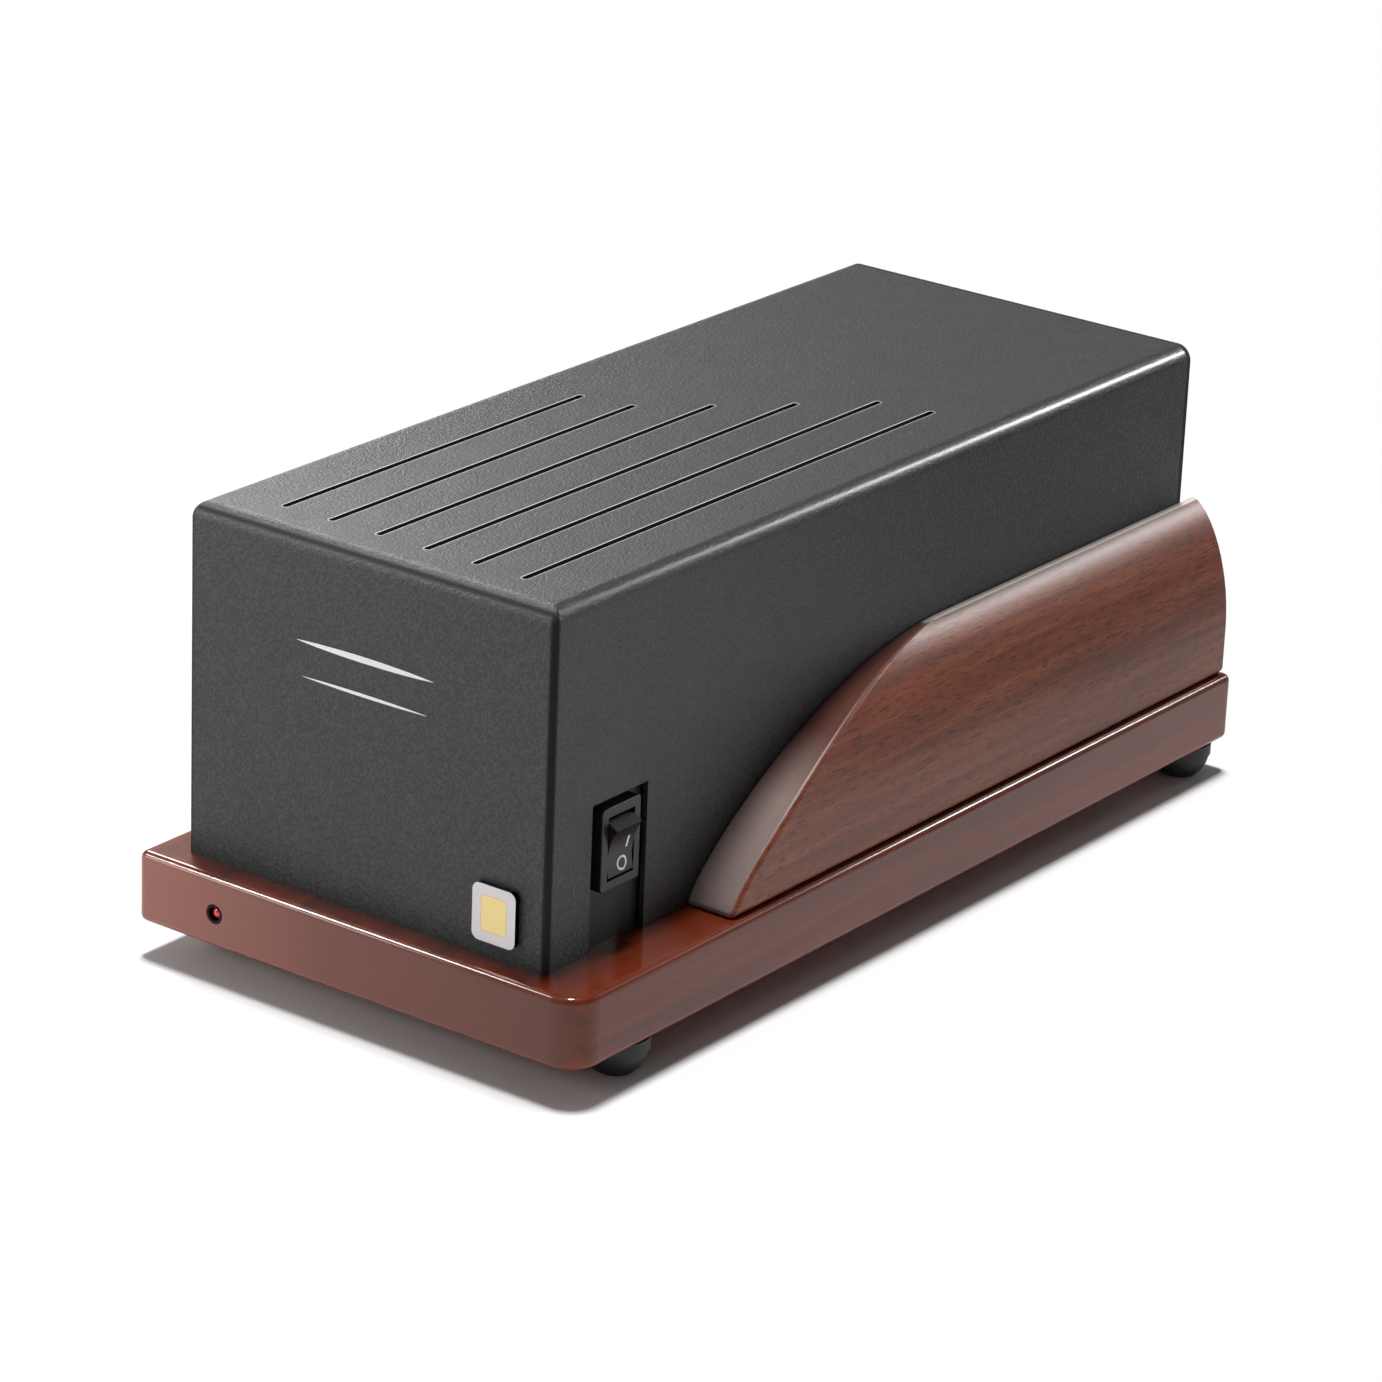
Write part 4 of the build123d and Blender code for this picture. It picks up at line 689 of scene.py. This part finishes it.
def makeFloor():
    deselectAll()
    bpy.ops.mesh.primitive_plane_add(size=studio["floorSize"])
    floor = bpy.context.object
    floor.name = "floor"
    material, tree, shader = newMaterial("paperFloor")
    setSockets(shader, {"Base Color": linear(studio["floorColour"]),
                        "Roughness": studio["floorRoughness"]})
    place = addNode(tree, "ShaderNodeTexCoord")
    away = addNode(tree, "ShaderNodeVectorMath", links={0: place.outputs["Object"]},
                   operation="LENGTH")
    near, far = studio["litRadius"]
    beyond = addNode(tree, "ShaderNodeMapRange", {"From Min": near, "From Max": far},
                     {"Value": away.outputs["Value"]})
    path = addNode(tree, "ShaderNodeLightPath")
    seen = addNode(tree, "ShaderNodeMath", links={0: path.outputs["Is Camera Ray"],
                   1: path.outputs["Is Glossy Ray"]}, operation="ADD")
    through = addNode(tree, "ShaderNodeMath", links={0: seen.outputs["Value"],
                      1: path.outputs["Is Transmission Ray"]}, operation="ADD", use_clamp=True)
    share = addNode(tree, "ShaderNodeMath", links={0: beyond.outputs["Result"],
                    1: through.outputs["Value"]}, operation="MULTIPLY")
    white = addNode(tree, "ShaderNodeEmission", {"Strength": 1.0})
    blend = addNode(tree, "ShaderNodeMixShader", links={0: share.outputs["Value"],
                    1: shader.outputs["BSDF"], 2: white.outputs["Emission"]})
    tree.links.new(blend.outputs["Shader"], tree.nodes["Material Output"].inputs["Surface"])
    floor.data.materials.append(material)


def makeWall():  # the white paper's far upright part, which low views and low reflections meet
    deselectAll()
    height = studio["wallHeight"]
    bpy.ops.mesh.primitive_cylinder_add(
        vertices=studio["wallSides"], radius=studio["wallRadius"], depth=height,
        end_fill_type="NOTHING", location=(0, 0, height / 2))
    wall = bpy.context.object
    wall.name = "paperWall"
    material, tree, shader = newMaterial("whiteWall")
    white = addNode(tree, "ShaderNodeEmission", {"Strength": 1.0})
    tree.links.new(white.outputs["Emission"], tree.nodes["Material Output"].inputs["Surface"])
    wall.data.materials.append(material)
    wall.visible_diffuse = wall.visible_shadow = False


def makeFlag():  # seen only in the gloss, where it holds back the white floor's reflection
    deselectAll()
    look = studio["flag"]
    bpy.ops.mesh.primitive_plane_add(size=1.0, location=look["place"], rotation=(0, math.pi / 2, 0))
    flag = bpy.context.object
    flag.name = "greyFlag"
    flag.scale = (look["size"][1], look["size"][0], 1.0)
    material, tree, shader = newMaterial("greyCard")
    setSockets(shader, {"Base Color": linear(look["colour"]), "Roughness": 1.0,
                        "Specular IOR Level": 0.0})
    place = addNode(tree, "ShaderNodeTexCoord")  # its front end thins out, so no edge is mirrored
    axes = addNode(tree, "ShaderNodeSeparateXYZ", links={"Vector": place.outputs["Object"]})
    thin, whole = look["thinEnd"]
    solid = addNode(tree, "ShaderNodeMapRange", {"From Min": thin, "From Max": whole},
                    {"Value": axes.outputs["Y"]}, interpolation_type="SMOOTHSTEP")
    clear = addNode(tree, "ShaderNodeBsdfTransparent")
    blend = addNode(tree, "ShaderNodeMixShader", links={0: solid.outputs["Result"],
                    1: clear.outputs["BSDF"], 2: shader.outputs["BSDF"]})
    tree.links.new(blend.outputs["Shader"], tree.nodes["Material Output"].inputs["Surface"])
    flag.data.materials.append(material)
    flag.visible_camera = flag.visible_diffuse = flag.visible_shadow = False
    flag.visible_transmission = False


def addLight(name, kind, energy, **settings):
    data = bpy.data.lights.new(name, kind)
    data.energy = energy
    for setting, value in settings.items():
        setattr(data, setting, value)
    light = bpy.data.objects.new(name, data)
    bpy.context.scene.collection.objects.link(light)
    return light


def areaLight(name, look, glossOnly):
    width, height = look["size"]
    light = addLight(name, "AREA", look["energy"], shape="RECTANGLE", size=width, size_y=height)
    light.location = look["place"]
    aim = Vector(studio["aim"]) - light.location
    light.rotation_euler = aim.to_track_quat("-Z", "Y").to_euler()
    light.visible_camera = False
    light.visible_diffuse = not glossOnly


def makeWorld():
    world = bpy.data.worlds.new("studio")
    bpy.context.scene.world = world
    world.use_nodes = True
    background = world.node_tree.nodes["Background"]
    background.inputs["Color"].default_value = linear(studio["worldColour"])
    background.inputs["Strength"].default_value = studio["worldStrength"]


makeFloor()
makeWall()
makeWorld()
overhead = addLight("overhead", "SUN", studio["sunStrength"],
                    angle=math.radians(studio["sunAngle"]))
overhead.rotation_euler = [math.radians(v) for v in studio["sunTilt"]] + [0]
areaLight("leftBank", studio["bank"], glossOnly=True)
areaLight("rearStrip", studio["strip"], glossOnly=True)
areaLight("farBank", studio["bankFar"], glossOnly=True)
areaLight("edgeBar", studio["edgeBar"], glossOnly=True)
areaLight("frontLeft", studio["frontLeft"], glossOnly=False)
makeFlag()
bpy.context.scene.view_settings.view_transform = "Standard"
print("studio ready")
